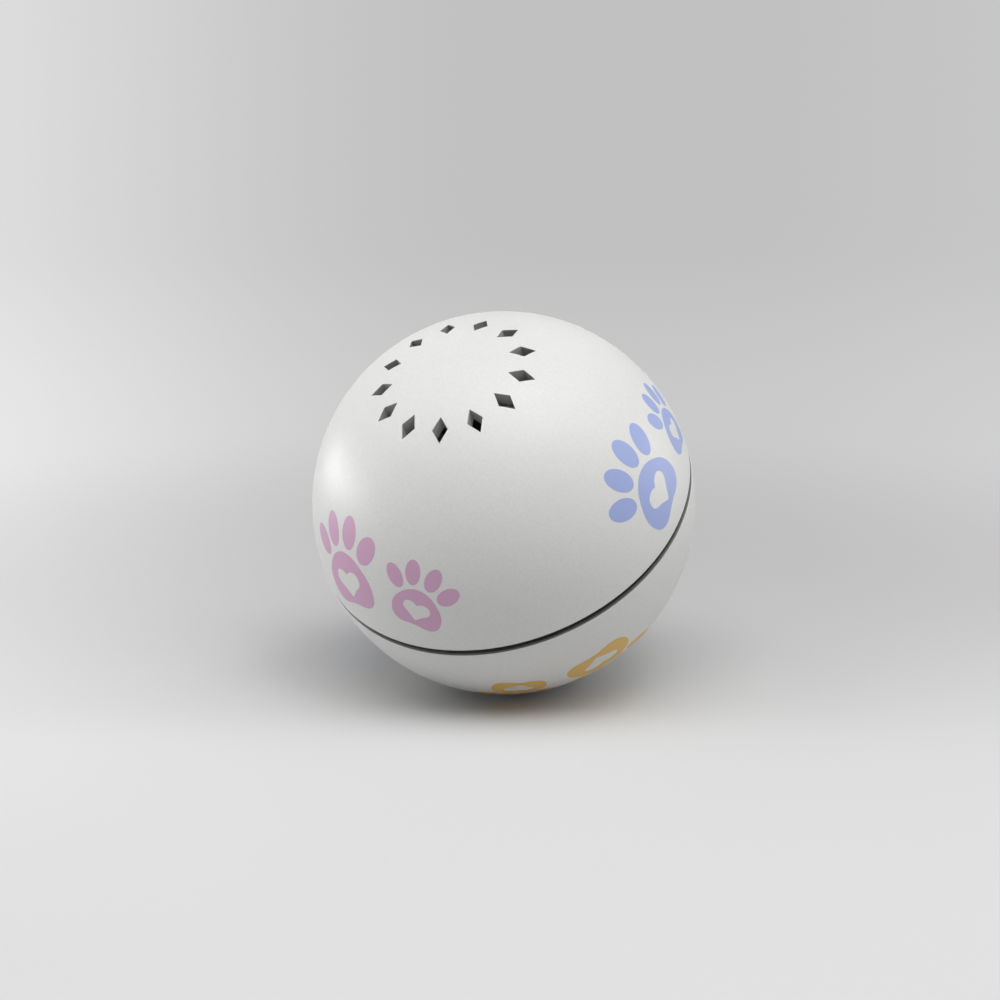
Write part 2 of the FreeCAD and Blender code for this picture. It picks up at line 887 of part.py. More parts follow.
def catnip_lid():
    body = new_body("catnip_lid")
    plate = new_sketch(body, "top", lid_low)
    circle(plate, 0, 0, lid_radius)
    circle(plate, 0, 0, hub_radius + size("lid_gap"))
    pad(body, plate, size("lid_thickness"))

    half = size("lid_tab_half_angle")
    tab = new_sketch(body, "top", tab_low)
    sector(tab, lid_radius - BURY, lid_radius + size("lid_tab_reach"), TAB_ANGLE - half, TAB_ANGLE + half)
    tabs = pad(body, tab, size("lid_tab_height"))
    ring_of(body, [tabs], tab, LID_TABS)

    hole = new_sketch(body, "top", lid_top)
    circle(hole, lid_radius - size("lid_hole_inset"), 0, size("lid_hole_radius"))
    holes = pocket(body, hole, size("lid_thickness"))
    ring_of(body, [holes], hole, size("lid_hole_count"))

    grip = new_sketch(body, "top", lid_top)
    sector(grip, size("lid_grip_inner"), size("lid_grip_outer"), *GRIP_ANGLES)
    grips = pocket(body, grip, size("lid_thickness"))
    ring_of(body, [grips], grip, 2)


# Axle

def axle():
    body = new_body("axle")
    bevel = size("axle_bevel")
    flange = size("foot_flange_radius")
    groove = axle_radius - size("clip_groove")
    profile = new_sketch(body, "front")
    outline(
        profile,
        [
            (0, boss_top),
            (flange, boss_top),
            (flange, flange_top),
            (axle_radius, flange_top),
            (axle_radius, clip_low),
            (groove, clip_low),
            (groove, clip_high),
            (axle_radius, clip_high),
            (axle_radius, axle_top - bevel),
            (axle_radius - bevel, axle_top),
            (0, axle_top),
        ],
    )
    revolve(body, profile)
    key = new_sketch(body, "top", key_bottom)
    hexagon(key, size("key_flats") - size("key_play") * 2)
    pad(body, key, boss_top - key_bottom)


def thrust_washer():
    outer = size("bush_flange_radius")
    corners = [(bush_inner, flange_top), (outer, flange_top), (outer, washer_top), (bush_inner, washer_top)]
    turned("thrust_washer", corners)


def axle_clip():
    body = new_body("axle_clip")
    inner = axle_radius - size("clip_groove") + size("press_gap")
    outer = size("clip_radius")
    profile = new_sketch(body, "front")
    outline(profile, [(inner, clip_low), (outer, clip_low), (outer, clip_high), (inner, clip_high)])
    revolve(body, profile, CLIP_ANGLE, middle=True)


# Drive core: moulded frame, bush, counterweight

def core_frame():
    body = new_body("core_frame")
    boss_radius = core_boss_radius
    bore = bush_outer + size("press_gap")
    profile = new_sketch(body, "front")
    outline(
        profile,
        [
            (bore, core_bottom),
            (leg(core_sphere, core_bottom), core_bottom, core_sphere, 0, 0),
            (core_radius, -leg(core_sphere, core_radius)),
            (core_radius, core_rim),
            (core_inside, core_rim),
            (core_inside, -leg(core_sphere_inside, core_inside), core_sphere_inside, 0, 0),
            (leg(core_sphere_inside, floor_top), floor_top),
            (boss_radius, floor_top),
            (boss_radius, core_boss_top),
            (bore, core_boss_top),
        ],
    )
    revolve(body, profile)

    posts = new_sketch(body, "top", core_rim - size("post_length"))
    for x, y in deck_posts:
        circle(posts, x, y, size("post_radius"))
    pad(body, posts, size("post_length"))

    bay_low = weight_top + size("bay_gap")
    bay_height = core_rim - size("deck_clearance") - bay_low
    wall_middle = core_inside + size("core_wall") * 0.5
    front_low = -battery_y + size("battery_thickness") * 0.5 + size("bay_gap")
    front_high = front_low + size("bay_wall")
    reach = leg(wall_middle, front_low)
    bulkhead = new_sketch(body, "top", bay_low)
    rectangle(bulkhead, -reach, front_low, reach, front_high)
    pad(body, bulkhead, bay_height)

    side_inner = size("battery_length") * 0.5 + size("bay_gap")
    side_outer = side_inner + size("bay_wall")
    sides = new_sketch(body, "top", bay_low)
    rectangle(sides, side_inner, -leg(wall_middle, side_outer), side_outer, front_high)
    rectangle(sides, -side_outer, -leg(wall_middle, side_outer), -side_inner, front_high)
    pad(body, sides, bay_height)

    back_high = -battery_y - size("battery_thickness") * 0.5 - size("bay_gap")
    back_inner = side_inner * 0.5
    back_outer = back_inner + size("bay_wall")
    backs = new_sketch(body, "top", bay_low)
    rectangle(backs, back_inner, -leg(wall_middle, back_outer), back_outer, back_high)
    rectangle(backs, -back_outer, -leg(wall_middle, back_outer), -back_inner, back_high)
    pad(body, backs, bay_height)

    pilot = new_sketch(body, "top", core_rim)
    for x, y in deck_posts:
        circle(pilot, x, y, size("screw_radius"))
    pocket(body, pilot, size("screw_length"))
    floor_holes = new_sketch(body, "top", floor_top)
    for x, y in weight_screw_spots:
        circle(floor_holes, x, y, screw_hole)
    pocket(body, floor_holes, size("core_floor"))


def core_bush():
    flange = size("bush_flange_radius")
    turned(
        "core_bush",
        [
            (bush_inner, washer_top),
            (flange, washer_top),
            (flange, core_bottom),
            (bush_outer, core_bottom),
            (bush_outer, core_boss_top),
            (bush_inner, core_boss_top),
        ],
    )


def counterweight():
    body = new_body("counterweight")
    inner = weight_inner
    reach = core_sphere_inside - size("weight_gap")
    bevel = size("weight_bevel")
    corner = weight_top - bevel
    profile = new_sketch(body, "side")
    profile.AttachmentOffset = FreeCAD.Placement(
        FreeCAD.Vector(), FreeCAD.Rotation(FreeCAD.Vector(0, 1, 0), value_of(size("weight_turn")))
    )
    profile.setExpression("AttachmentOffset.Rotation.Angle", "sizes.weight_turn * 1 deg")
    outline(
        profile,
        [
            (-inner, floor_top),
            (-leg(reach, floor_top), floor_top, reach, 0, 0),
            (-leg(reach, corner), corner),
            (-leg(reach, corner) + bevel, weight_top),
            (-inner - bevel, weight_top),
            (-inner, corner),
        ],
    )
    revolve(body, profile, size("weight_angle"), middle=True)
    taps = new_sketch(body, "top", core_bottom + size("screw_length"))
    for x, y in weight_screw_spots:
        circle(taps, x, y, size("screw_radius"))
    pocket(body, taps, size("screw_length"))


# Battery

def battery():
    length, thickness = size("battery_length"), size("battery_thickness")
    cell = block(length, thickness, battery_height, 0, -battery_y, battery_low)
    long_edges = rounded(cell, size("battery_round"), lambda edge: abs(edge.tangentAt(0).z) > 0.9)
    sub_part(long_edges, "battery")


def battery_pad():
    margin = size("pad_margin") * 2
    length, width = size("battery_length") - margin, size("battery_thickness") - margin
    foam = block(length, width, size("pad_thickness"), 0, -battery_y, weight_top)
    sub_part(foam, "battery_pad")


GUARD_CHIP = (3.0, 2.4)
GUARD_CHIP_ROW = (-1.5, 3.5, 8.0)


def battery_guard():
    """The cell's protection board, on its top edge, with its chips."""
    length = size("battery_length") - size("guard_end_margin") * 2
    width = size("battery_thickness") - size("guard_side_margin") * 2
    thin = size("guard_height") * 0.5
    board = block(length, width, thin, 0, -battery_y, battery_top)
    chips = [block(*GUARD_CHIP, thin, x, -battery_y, battery_top + thin) for x in GUARD_CHIP_ROW]
    sub_part(joined([board] + chips), "battery_guard")


# Motor

def motor_outline(sketch, radius, flats):
    """A round can with two flats, facing along Y."""
    x, y = motor_spot
    wide = leg(radius, flats)
    return outline(
        sketch,
        [
            (x + wide, y - flats, radius, x, y),
            (x + wide, y + flats),
            (x - wide, y + flats, radius, x, y),
            (x - wide, y - flats),
        ],
    )


def motor_can():
    body = new_body("motor_can")
    can = new_sketch(body, "top", core_rim - size("motor_length"))
    motor_outline(can, size("motor_radius"), size("motor_flats") * 0.5)
    pad(body, can, size("motor_length"))
    nose = new_sketch(body, "top", core_rim)
    circle(nose, motor_spot[0], motor_spot[1], size("motor_boss_radius"))
    pad(body, nose, size("motor_boss"))
    bore = new_sketch(body, "top", core_rim + size("motor_boss"))
    circle(bore, motor_spot[0], motor_spot[1], size("motor_shaft_radius") + size("pin_gap"))
    pocket(body, bore, size("motor_boss") + size("motor_bearing"))
    taps = new_sketch(body, "top", core_rim)
    for x, y in motor_screw_spots:
        circle(taps, x, y, size("screw_radius"))
    pocket(body, taps, size("motor_screw_length") - size("deck_thickness"))


def motor_cap():
    body = new_body("motor_cap")
    cap = new_sketch(body, "top", motor_foot)
    step = size("motor_cap_step")
    motor_outline(cap, size("motor_radius") - step, size("motor_flats") * 0.5 - step)
    pad(body, cap, size("motor_cap"))
    nub = new_sketch(body, "top", motor_foot - size("motor_nub"))
    circle(nub, motor_spot[0], motor_spot[1], size("motor_boss_radius"))
    pad(body, nub, size("motor_nub"))
    slots = new_sketch(body, "top", terminal_high)
    edge = motor_spot[0] - size("motor_radius")
    for y in terminal_rows:
        half = size("terminal_width") * 0.5
        rectangle(slots, edge - BURY, y - half, edge + size("terminal_depth"), y + half)
    pocket(body, slots, size("terminal_thickness"))


def motor_terminals():
    low = terminal_high - size("terminal_thickness")
    stop = motor_spot[0] - size("motor_radius") + size("terminal_depth")
    start = lead_column - size("terminal_width") * 0.5
    tabs = [
        block(stop - start, size("terminal_width"), size("terminal_thickness"), (start + stop) * 0.5, y, low)
        for y in terminal_rows
    ]
    group("motor_terminals", tabs)


def motor_shaft():
    low = core_rim - size("motor_bearing")
    length = pinion_top + size("motor_shaft_stand") - low
    sub_part(cylinder(size("motor_shaft_radius"), length, motor_spot[0], motor_spot[1], low), "motor_shaft")


# Gears

def involute_point(base, radius, turn, side):
    """A point of a flank at that radius, turned about the gear's centre."""
    roll = math.sqrt(max((radius / base) ** 2 - 1.0, 0.0))
    angle = turn + side * (roll - math.atan(roll))
    return FreeCAD.Vector(radius * math.cos(angle), radius * math.sin(angle), 0)


def gear_blank(teeth, phase, spot, low, width):
    """A spur gear with involute flanks and a tooth centred on the angle phase, standing on a height."""
    step = value_of(module)
    pitch = step * teeth / 2
    tip = pitch + ADDENDUM * step
    foot = pitch - DEDENDUM * step
    base = pitch * math.cos(math.radians(PRESSURE_ANGLE))
    pressure = math.radians(PRESSURE_ANGLE)
    half_tooth = math.pi / (2 * teeth) - value_of(size("tooth_thinning")) / (2 * pitch)
    flank_start = half_tooth + math.tan(pressure) - pressure
    lowest = max(foot, base)
    radii = [lowest, (lowest + tip) / 2, tip]
    points = []
    for k in range(teeth):
        middle = math.radians(phase) + 2 * math.pi * k / teeth
        rising = [involute_point(base, r, middle - flank_start, 1) for r in radii]
        falling = [involute_point(base, r, middle + flank_start, -1) for r in reversed(radii)]
        first = FreeCAD.Vector(rising[0]).normalize() * foot
        last = FreeCAD.Vector(falling[-1]).normalize() * foot
        points += [first] + rising + falling + [last] if base > foot else rising + falling
    outline_wire = Part.makePolygon(points + [points[0]])
    solid = Part.Face(outline_wire).extrude(FreeCAD.Vector(0, 0, value_of(width)))
    blank = doc.addObject("Part::Feature", "Teeth")
    blank.Shape = solid
    blank.Placement.Base = FreeCAD.Vector(value_of(spot[0]), value_of(spot[1]), value_of(low))
    return blank


def mesh_phase(driver, driver_phase, line, driven):
    """The tooth phase that sets the driven gear's gap on the driver's tooth, along a line of centres."""
    offset = (driver_phase - line) * driver / 360.0
    return line + 180.0 + (0.5 - offset) * 360.0 / driven


def whole(alias):
    return int(round(value_of(size(alias))))


def phase_on(driver, line, driven):
    """The same for gears that are named by their sizes, with the driver's first tooth at 0 degrees."""
    return mesh_phase(whole(driver), 0, value_of(size(line)), whole(driven))


PHASES = {
    "pinion_2": phase_on("drive_teeth", "gear_2_angle", "pinion_2_teeth"),
    "pinion_1": phase_on("wheel_2_teeth", "gear_1_angle", "pinion_1_teeth"),
    "motor": phase_on("wheel_1_teeth", "motor_angle", "motor_teeth"),
}


def pierced(spot, count, teeth, low, width):
    """Round holes through the web of a wheel with that many teeth."""
    circle_radius = module * teeth * size("web_share")
    spots = round_axle(circle_radius, *(360.0 * k / count for k in range(count)))
    return [cylinder(size("web_hole"), width, spot[0] + x, spot[1] + y, low) for x, y in spots]


def drive_gear():
    low, width = layer_1, size("drive_width")
    teeth = gear_blank(whole("drive_teeth"), 0, CENTRE, low, width)
    hub_low = deck_top + size("gear_play")
    hub_high = low + width + size("drive_hub_stand")
    hub = cylinder(size("drive_hub_radius"), hub_high - hub_low, 0, 0, hub_low)
    bore = cylinder(axle_radius + size("press_gap"), axle_top, 0, 0, 0)
    holes = pierced(CENTRE, 6, size("drive_teeth"), low, width)
    sub_part(drilled(joined([teeth, hub]), joined([bore] + holes)), "drive_gear")


def compound_gear(label, spot, wheel_teeth, pinion_teeth, pinion_phase, pinion_low, wheel_low, foot_low):
    """A wheel with its smaller pinion below it, in one piece, running on a pin."""
    wheel = gear_blank(wheel_teeth, 0, spot, wheel_low, size("wheel_width"))
    pinion = gear_blank(pinion_teeth, pinion_phase, spot, pinion_low, wheel_low - pinion_low)
    hub_radius = size("gear_hub_radius")
    hub = cylinder(hub_radius, bridge_low - size("gear_play") - wheel_low, spot[0], spot[1], wheel_low)
    solids = [wheel, pinion, hub]
    if foot_low is not None:
        solids.append(cylinder(hub_radius, pinion_low - foot_low, spot[0], spot[1], foot_low))
    bore = cylinder(size("pin_radius") + size("pin_gap"), bridge_low, spot[0], spot[1], 0)
    holes = pierced(spot, 5, wheel_teeth, wheel_low, size("wheel_width"))
    sub_part(drilled(joined(solids), joined([bore] + holes)), label)


def compound_gear_2():
    compound_gear(
        "compound_gear_2",
        gear_2_spot,
        whole("wheel_2_teeth"),
        whole("pinion_2_teeth"),
        PHASES["pinion_2"],
        layer_1 - size("layer_overlap"),
        layer_2,
        deck_top + size("gear_play"),
    )


def compound_gear_1():
    compound_gear(
        "compound_gear_1",
        gear_1_spot,
        whole("wheel_1_teeth"),
        whole("pinion_1_teeth"),
        PHASES["pinion_1"],
        layer_2 - size("layer_overlap"),
        layer_3,
        None,
    )


def motor_pinion():
    x, y = motor_spot
    low = layer_3 - size("layer_overlap")
    teeth = gear_blank(whole("motor_teeth"), PHASES["motor"], motor_spot, low, pinion_top - low)
    sleeve_low = deck_top + size("gear_play")
    sleeve = cylinder(size("sleeve_radius"), low - sleeve_low, x, y, sleeve_low)
    bore = cylinder(size("motor_shaft_radius") + size("press_gap"), pinion_top, x, y, 0)
    sub_part(drilled(joined([teeth, sleeve]), bore), "motor_pinion")


def gear_pins():
    low, radius = core_rim + size("deck_thickness") * 0.5, size("pin_radius")
    length = bridge_top - low
    pins = [cylinder(radius, length, x, y, low) for x, y in (gear_1_spot, gear_2_spot)]
    shoulder_top = layer_2 - size("layer_overlap") - size("gear_play")
    x, y = gear_1_spot
    shoulder = cylinder(size("pin_shoulder"), shoulder_top - deck_top, x, y, deck_top)
    group("gear_pins", [joined([pins[0], shoulder]), pins[1]])


# Gear deck and bridge

def gear_deck():
    body = new_body("gear_deck")
    plate = new_sketch(body, "top", core_rim)
    circle(plate, 0, 0, core_radius + size("deck_overhang"))
    circle(plate, 0, 0, axle_radius + size("deck_bore_gap"))
    pad(body, plate, size("deck_thickness"))

    for spots, radius, high in (
        (board_posts, size("board_post_radius"), board_low),
        (bridge_posts, size("bridge_post_radius"), bridge_low),
    ):
        posts = new_sketch(body, "top", deck_top)
        for x, y in spots:
            circle(posts, x, y, radius)
        pad(body, posts, high - deck_top)
        pilots = new_sketch(body, "top", high)
        for x, y in spots:
            circle(pilots, x, y, size("screw_radius"))
        pocket(body, pilots, size("screw_length"))

    x, y = motor_spot
    half = size("cradle_width") * 0.5
    near = size("motor_flats") * 0.5 + size("pin_gap")
    far = near + size("cradle_wall")
    cradle = new_sketch(body, "top", core_rim - size("cradle_depth"))
    rectangle(cradle, x - half, y + near, x + half, y + far)
    rectangle(cradle, x - half, y - far, x + half, y - near)
    pad(body, cradle, size("cradle_depth"))

    through = new_sketch(body, "top", deck_top)
    circle(through, x, y, size("motor_boss_radius") + size("pin_gap"))
    for spot in deck_posts + motor_screw_spots:
        circle(through, spot[0], spot[1], screw_hole)
    slots = size("battery_slot_half")
    rectangle(through, lead_1_x - slots, -notch_front - notch_depth, lead_2_x + slots, -notch_front)
    rectangle(through, *motor_slot)
    pocket(body, through, size("deck_thickness"))

    sockets = new_sketch(body, "top", deck_top)
    for x, y in (gear_1_spot, gear_2_spot):
        circle(sockets, x, y, size("pin_radius") + size("press_gap"))
    pocket(body, sockets, size("deck_thickness") * 0.5)


def gear_bridge():
    body = new_body("gear_bridge")
    thickness = size("bridge_thickness")
    hub = new_sketch(body, "top", bridge_low)
    circle(hub, 0, 0, bush_outer + size("bridge_hub_wall"))
    pad(body, hub, thickness)
    pin_spots = [gear_1_spot, gear_2_spot]
    for spot in bridge_posts + pin_spots:
        arm = new_sketch(body, "top", bridge_low)
        bar(arm, CENTRE, spot, size("bridge_arm"))
        pad(body, arm, thickness)
    eyes = new_sketch(body, "top", bridge_low)
    for x, y in bridge_posts:
        circle(eyes, x, y, size("bridge_post_radius"))
    for x, y in pin_spots:
        circle(eyes, x, y, size("pin_eye_radius"))
    pad(body, eyes, thickness)
    holes = new_sketch(body, "top", bridge_top)
    circle(holes, 0, 0, bush_outer + size("press_gap"))
    for x, y in bridge_posts:
        circle(holes, x, y, screw_hole)
    for x, y in pin_spots:
        circle(holes, x, y, size("pin_radius") + size("press_gap"))
    pocket(body, holes, thickness)


def bridge_bush():
    low, high = bridge_low, bush_top
    turned("bridge_bush", [(bush_inner, low), (bush_outer, low), (bush_outer, high), (bush_inner, high)])


# Circuit board and what is on it

CONTROLLER, CONTROLLER_SPOT = (5.0, 5.0, 1.0), (-1.5, -15.9)
CHARGER, CHARGER_SPOT = (3.0, 3.0, 1.0), (6.4, -15.4)
LED, LED_SPOT = (1.6, 1.2, 0.7), (6.6, -23.6)
PASSIVE = (1.6, 0.8, 0.5)
PASSIVE_SPOTS = (
    (2.6, -17.8),
    (2.6, -14.2),
    (2.6, -16.0),
    (9.2, -13.6),
    (6.6, -18.6),
    (15.9, -13.6),
    (-6.1, -16.6),
)


def circuit_board():
    body = new_body("circuit_board")
    edge, radius = -size("board_edge"), board_radius
    wide = leg(radius, edge)
    low = -notch_front - notch_depth
    slots = size("battery_slot_half")
    board = new_sketch(body, "top", board_low)
    outline(
        board,
        [
            (-wide, edge, radius, 0, 0),
            (wide, edge),
            (lead_2_x + slots, edge),
            (lead_2_x + slots, low),
            (lead_1_x - slots, low),
            (lead_1_x - slots, edge),
        ],
    )
    pad(body, board, size("board_thickness"))
    holes = new_sketch(body, "top", board_top)
    for x, y in board_posts:
        circle(holes, x, y, screw_hole)
    pocket(body, holes, size("board_thickness"))


def on_board(length, width, height, x, y):
    return block(length, width, height, x, y, board_top)


def usb_socket():
    wall = size("usb_shell")
    width, height, depth = size("usb_width"), size("usb_height"), size("usb_depth")
    middle = usb_mouth + depth * 0.5
    along = lambda edge: abs(edge.tangentAt(0).y) > 0.9
    outside = rounded(block(width, depth, height, 0, middle, board_top), size("usb_corner"), along)
    inside_block = block(width - wall * 2, depth, height - wall * 2, 0, middle - wall * 2, board_top + wall)
    inside = rounded(inside_block, size("usb_corner") - wall, along)
    sub_part(drilled(outside, inside), "usb_socket")


def usb_tongue():
    width, thickness = size("usb_tongue_width"), size("usb_tongue_thickness")
    back = usb_mouth + size("usb_depth") - size("usb_shell") * 2
    length = size("usb_depth") * size("usb_tongue_share")
    low = board_top + (size("usb_height") - thickness) * 0.5
    sub_part(block(width, length, thickness, 0, back - length * 0.5, low), "usb_tongue")


def controller_chip():
    sub_part(on_board(*CONTROLLER, *CONTROLLER_SPOT), "controller_chip")


def charger_chip():
    sub_part(on_board(*CHARGER, *CHARGER_SPOT), "charger_chip")


def board_passives():
    group("board_passives", [on_board(*PASSIVE, *spot) for spot in PASSIVE_SPOTS])


def status_led():
    sub_part(on_board(*LED, *LED_SPOT), "status_led")


def top_edge(low, height):
    """Picks the edge round the top of an upright cylinder, whose seam has its middle lower down."""
    level = value_of(low + height * 0.75)
    return lambda edge: edge.CenterOfMass.z > level


def vibration_sensor():
    radius, height = size("sensor_radius"), size("sensor_height")
    can = cylinder(radius, height, -size("sensor_x"), sensor_y, board_top)
    sub_part(rounded(can, size("sensor_round"), top_edge(board_top, height)), "vibration_sensor")


def power_switch():
    x, y = size("button_x"), button_y
    wide, height = size("switch_width"), size("switch_height")
    case = on_board(wide, wide, height, x, y)
    well_low = button_foot - size("button_travel") - size("stem_gap")
    well = cylinder(size("stem_radius") + size("stem_gap"), height, x, y, well_low)
    sub_part(drilled(case, well), "power_switch")


def power_button():
    x, y = size("button_x"), button_y
    cap_low, height = switch_top + size("button_travel") + size("stem_gap"), size("button_height")
    cap = cylinder(size("button_radius"), height, x, y, cap_low)
    crown = rounded(cap, size("button_round"), top_edge(cap_low, height))
    stem = cylinder(size("stem_radius"), cap_low - button_foot, x, y, button_foot)
    sub_part(joined([crown, stem]), "power_button")


def battery_connector():
    middle = (lead_1_x + lead_2_x) * 0.5
    width = lead_2_x - lead_1_x + size("connector_margin") * 2
    housing = on_board(
        width, size("battery_plug_depth"), size("connector_height"), middle, battery_plug_y
    )
    sub_part(housing, "battery_connector")


def motor_connector():
    low_x, high_x = motor_lead_x
    width = high_x - low_x + size("connector_margin") * 2
    depth = size("motor_plug_depth")
    middle = motor_plug_face - depth * 0.5
    housing = on_board(width, depth, size("connector_height"), (low_x + high_x) * 0.5, middle)
    sub_part(housing, "motor_connector")


# Leads, each a tube along straight runs joined by arcs

BEND_SHARE = 0.45


def lead(label, corners):
    """A lead through hand-placed corners; each arc takes a share of its shorter run."""
    spots = [FreeCAD.Vector(*(value_of(c) for c in corner)) for corner in corners]
    edges = []
    here = spots[0]
    for before, corner, after in zip(spots, spots[1:], spots[2:]):
        back, ahead = before - corner, after - corner
        reach = BEND_SHARE * min(back.Length, ahead.Length)
        back.normalize()
        ahead.normalize()
        half_turn = (math.pi - back.getAngle(ahead)) / 2
        radius = reach / math.tan(half_turn)
        start, stop = corner + back * reach, corner + ahead * reach
        inward = (back + ahead).normalize()
        middle = corner + inward * (radius / math.cos(half_turn) - radius)
        edges.append(Part.LineSegment(here, start).toShape())
        edges.append(Part.Arc(start, middle, stop).toShape())
        here = stop
        print(f"{label}: bend radius {radius:.1f} mm")
    edges.append(Part.LineSegment(here, spots[-1]).toShape())
    path = Part.Wire(edges)
    section = Part.Wire(Part.makeCircle(value_of(size("lead_radius")), spots[0], spots[1] - spots[0]))
    tube = doc.addObject("Part::Feature", label + "_tube")
    tube.Shape = path.makePipeShell([section], True, False)
    expected = section.Length ** 2 / (4 * math.pi) * path.Length
    print(f"{label}: volume {tube.Shape.Volume:.2f}, section times length {expected:.2f}")
    sub_part(tube, label)


def battery_leads():
    for label, x in (("battery_lead_plus", lead_1_x), ("battery_lead_minus", lead_2_x)):
        lead(
            label,
            [
                (x, -lead_rise_y, battery_top + size("guard_height") * 0.5),
                (x, -lead_rise_y, lead_bend),
                (x, -lead_rise_y - arch_step, lead_bend + arch_step),
                (x, battery_plug_y + arch_step, lead_bend + arch_step),
                (x, battery_plug_y, lead_bend),
                (x, battery_plug_y, board_top + size("connector_height")),
            ],
        )


# Where each motor lead turns over the deck: X, Y and the height above the deck
MOTOR_LEAD_TURNS = (
    ((-18.6, 0.6, 1.6), (-16.2, -3.2, 2.6)),
    ((-18.0, 3.4, 1.6), (-14.9, -2.6, 2.6)),
)
MOTOR_LEAD_APPROACH = (-8.6, 3.8)
MOTOR_LEAD_ENTRY = -12.9


def motor_leads():
    high = board_top + size("connector_height") * 0.5
    labels = ("motor_lead_plus", "motor_lead_minus")
    for label, row_y, plug_x, turns in zip(labels, terminal_rows, motor_lead_x, MOTOR_LEAD_TURNS):
        over_deck = [(x, y, deck_top + rise) for x, y, rise in turns]
        lead(
            label,
            [
                (lead_column, row_y, terminal_high),
                (lead_column, row_y, core_rim),
                *over_deck,
                (plug_x, MOTOR_LEAD_APPROACH[0], deck_top + MOTOR_LEAD_APPROACH[1]),
                (plug_x, MOTOR_LEAD_ENTRY, high),
                (plug_x, motor_plug_face, high),
            ],
        )


# Screws

def screws(label, spots, seat, length, upward=False):
    """Pan-head screws whose heads sit on the height seat; upward ones are driven from below."""
    head, radius, head_radius = size("screw_head"), size("screw_radius"), size("screw_head_radius")
    slot_depth = head * size("slot_depth_share")
    solids = []
    for x, y in spots:
        head_low = seat - head if upward else seat
        shank_low = seat if upward else seat - length
        cap = cylinder(head_radius, head, x, y, head_low)
        slot_low = head_low if upward else head_low + head - slot_depth
        slot = block(head_radius * 2, radius * 0.5, slot_depth, x, y, slot_low)
        solids.append(joined([drilled(cap, slot), cylinder(radius, length, x, y, shank_low)]))
    group(label, solids)


# The model

for make in (
    lower_shell,
    upper_shell,
    upper_hub,
    chamber_wall,
    seal_ring,
    upper_bush,
    catnip_lid,
    axle,
    thrust_washer,
    axle_clip,
    core_frame,
    core_bush,
    counterweight,
    battery,
    battery_pad,
    battery_guard,
    motor_can,
    motor_cap,
    motor_terminals,
    motor_shaft,
    drive_gear,
    compound_gear_1,
    compound_gear_2,
    motor_pinion,
    gear_pins,
    gear_deck,
    gear_bridge,
    bridge_bush,
    circuit_board,
    usb_socket,
    usb_tongue,
    controller_chip,
    charger_chip,
    board_passives,
    status_led,
    vibration_sensor,
    power_switch,
    power_button,
    battery_connector,
    motor_connector,
    battery_leads,
    motor_leads,
):
    make()
screws("weight_screws", weight_screw_spots, core_bottom, size("screw_length"), upward=True)
screws("deck_screws", deck_posts, deck_top, size("screw_length"))
screws("motor_screws", motor_screw_spots, deck_top, size("motor_screw_length"))
screws("bridge_screws", bridge_posts, bridge_top, size("screw_length"))
screws("board_screws", board_posts, board_top, size("screw_length") - size("board_thickness"))

doc.recompute()

failed = [thing.Label for thing in doc.Objects if "Invalid" in thing.State or "Error" in thing.State]
failed += [part.Label for part in SUB_PARTS if part.Shape.isNull() or not part.Shape.isValid()]
if failed:
    print("These did not build:", ", ".join(failed))
    sys.exit(1)

os.makedirs("parts", exist_ok=True)
for part in SUB_PARTS:
    part.Shape.exportStep(f"parts/{part.Label}.step")
    print(f"{part.Label}: {len(part.Shape.Solids)} solid(s), {part.Shape.Volume:.1f} mm3")
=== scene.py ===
import json
import math

import bmesh
import bpy
from mathutils import Matrix, Vector, geometry


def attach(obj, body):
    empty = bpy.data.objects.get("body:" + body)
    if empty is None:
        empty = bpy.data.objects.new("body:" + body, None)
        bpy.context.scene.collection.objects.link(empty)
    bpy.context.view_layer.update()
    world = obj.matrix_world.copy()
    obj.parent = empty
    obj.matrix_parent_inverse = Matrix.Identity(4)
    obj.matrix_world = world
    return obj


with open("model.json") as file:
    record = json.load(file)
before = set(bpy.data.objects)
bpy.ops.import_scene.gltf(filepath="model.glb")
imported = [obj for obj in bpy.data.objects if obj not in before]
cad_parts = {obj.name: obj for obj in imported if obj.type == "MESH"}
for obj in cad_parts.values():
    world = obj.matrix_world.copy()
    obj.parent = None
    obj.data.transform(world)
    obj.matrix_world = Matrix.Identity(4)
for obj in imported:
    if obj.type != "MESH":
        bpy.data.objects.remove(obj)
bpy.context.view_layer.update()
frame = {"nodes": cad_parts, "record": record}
nodes = frame["nodes"]

MM = 0.001
BALL_RADIUS = 35.0
TILT = math.radians(36.6)

# The drive axle leans over by TILT about X, so a point drawn about an upright axle is turned by LEAN.
LEAN = Matrix.Rotation(TILT, 4, "X")


def place(x, y, z):
    """A point drawn about an upright axle, in millimetres, to its place in the frame, in metres."""
    return LEAN @ Vector((x, y, z)) * MM


def upright(point):
    """The way back: a point of the frame, in metres, to millimetres about an upright axle."""
    return LEAN.inverted() @ point / MM


def turned(x, y, angle):
    """A flat point turned about the origin by an angle in degrees."""
    c, s = math.cos(math.radians(angle)), math.sin(math.radians(angle))
    return x * c - y * s, x * s + y * c


def outward(azimuth, height):
    """The direction at an azimuth, from -Y towards +X, and an angle over the level, both in radians."""
    return Vector((
        math.sin(azimuth) * math.cos(height),
        -math.cos(azimuth) * math.cos(height),
        math.sin(height),
    ))


def look_at_ball(name, data, direction, distance):
    """A camera or lamp that looks at the ball's middle from a direction."""
    made = bpy.data.objects.new(name, data)
    made.location = direction * distance
    made.rotation_mode = "QUATERNION"
    made.rotation_quaternion = (-direction).to_track_quat("-Z", "Y")
    bpy.context.scene.collection.objects.link(made)
    return made


# Camera, at the photograph's viewing angle

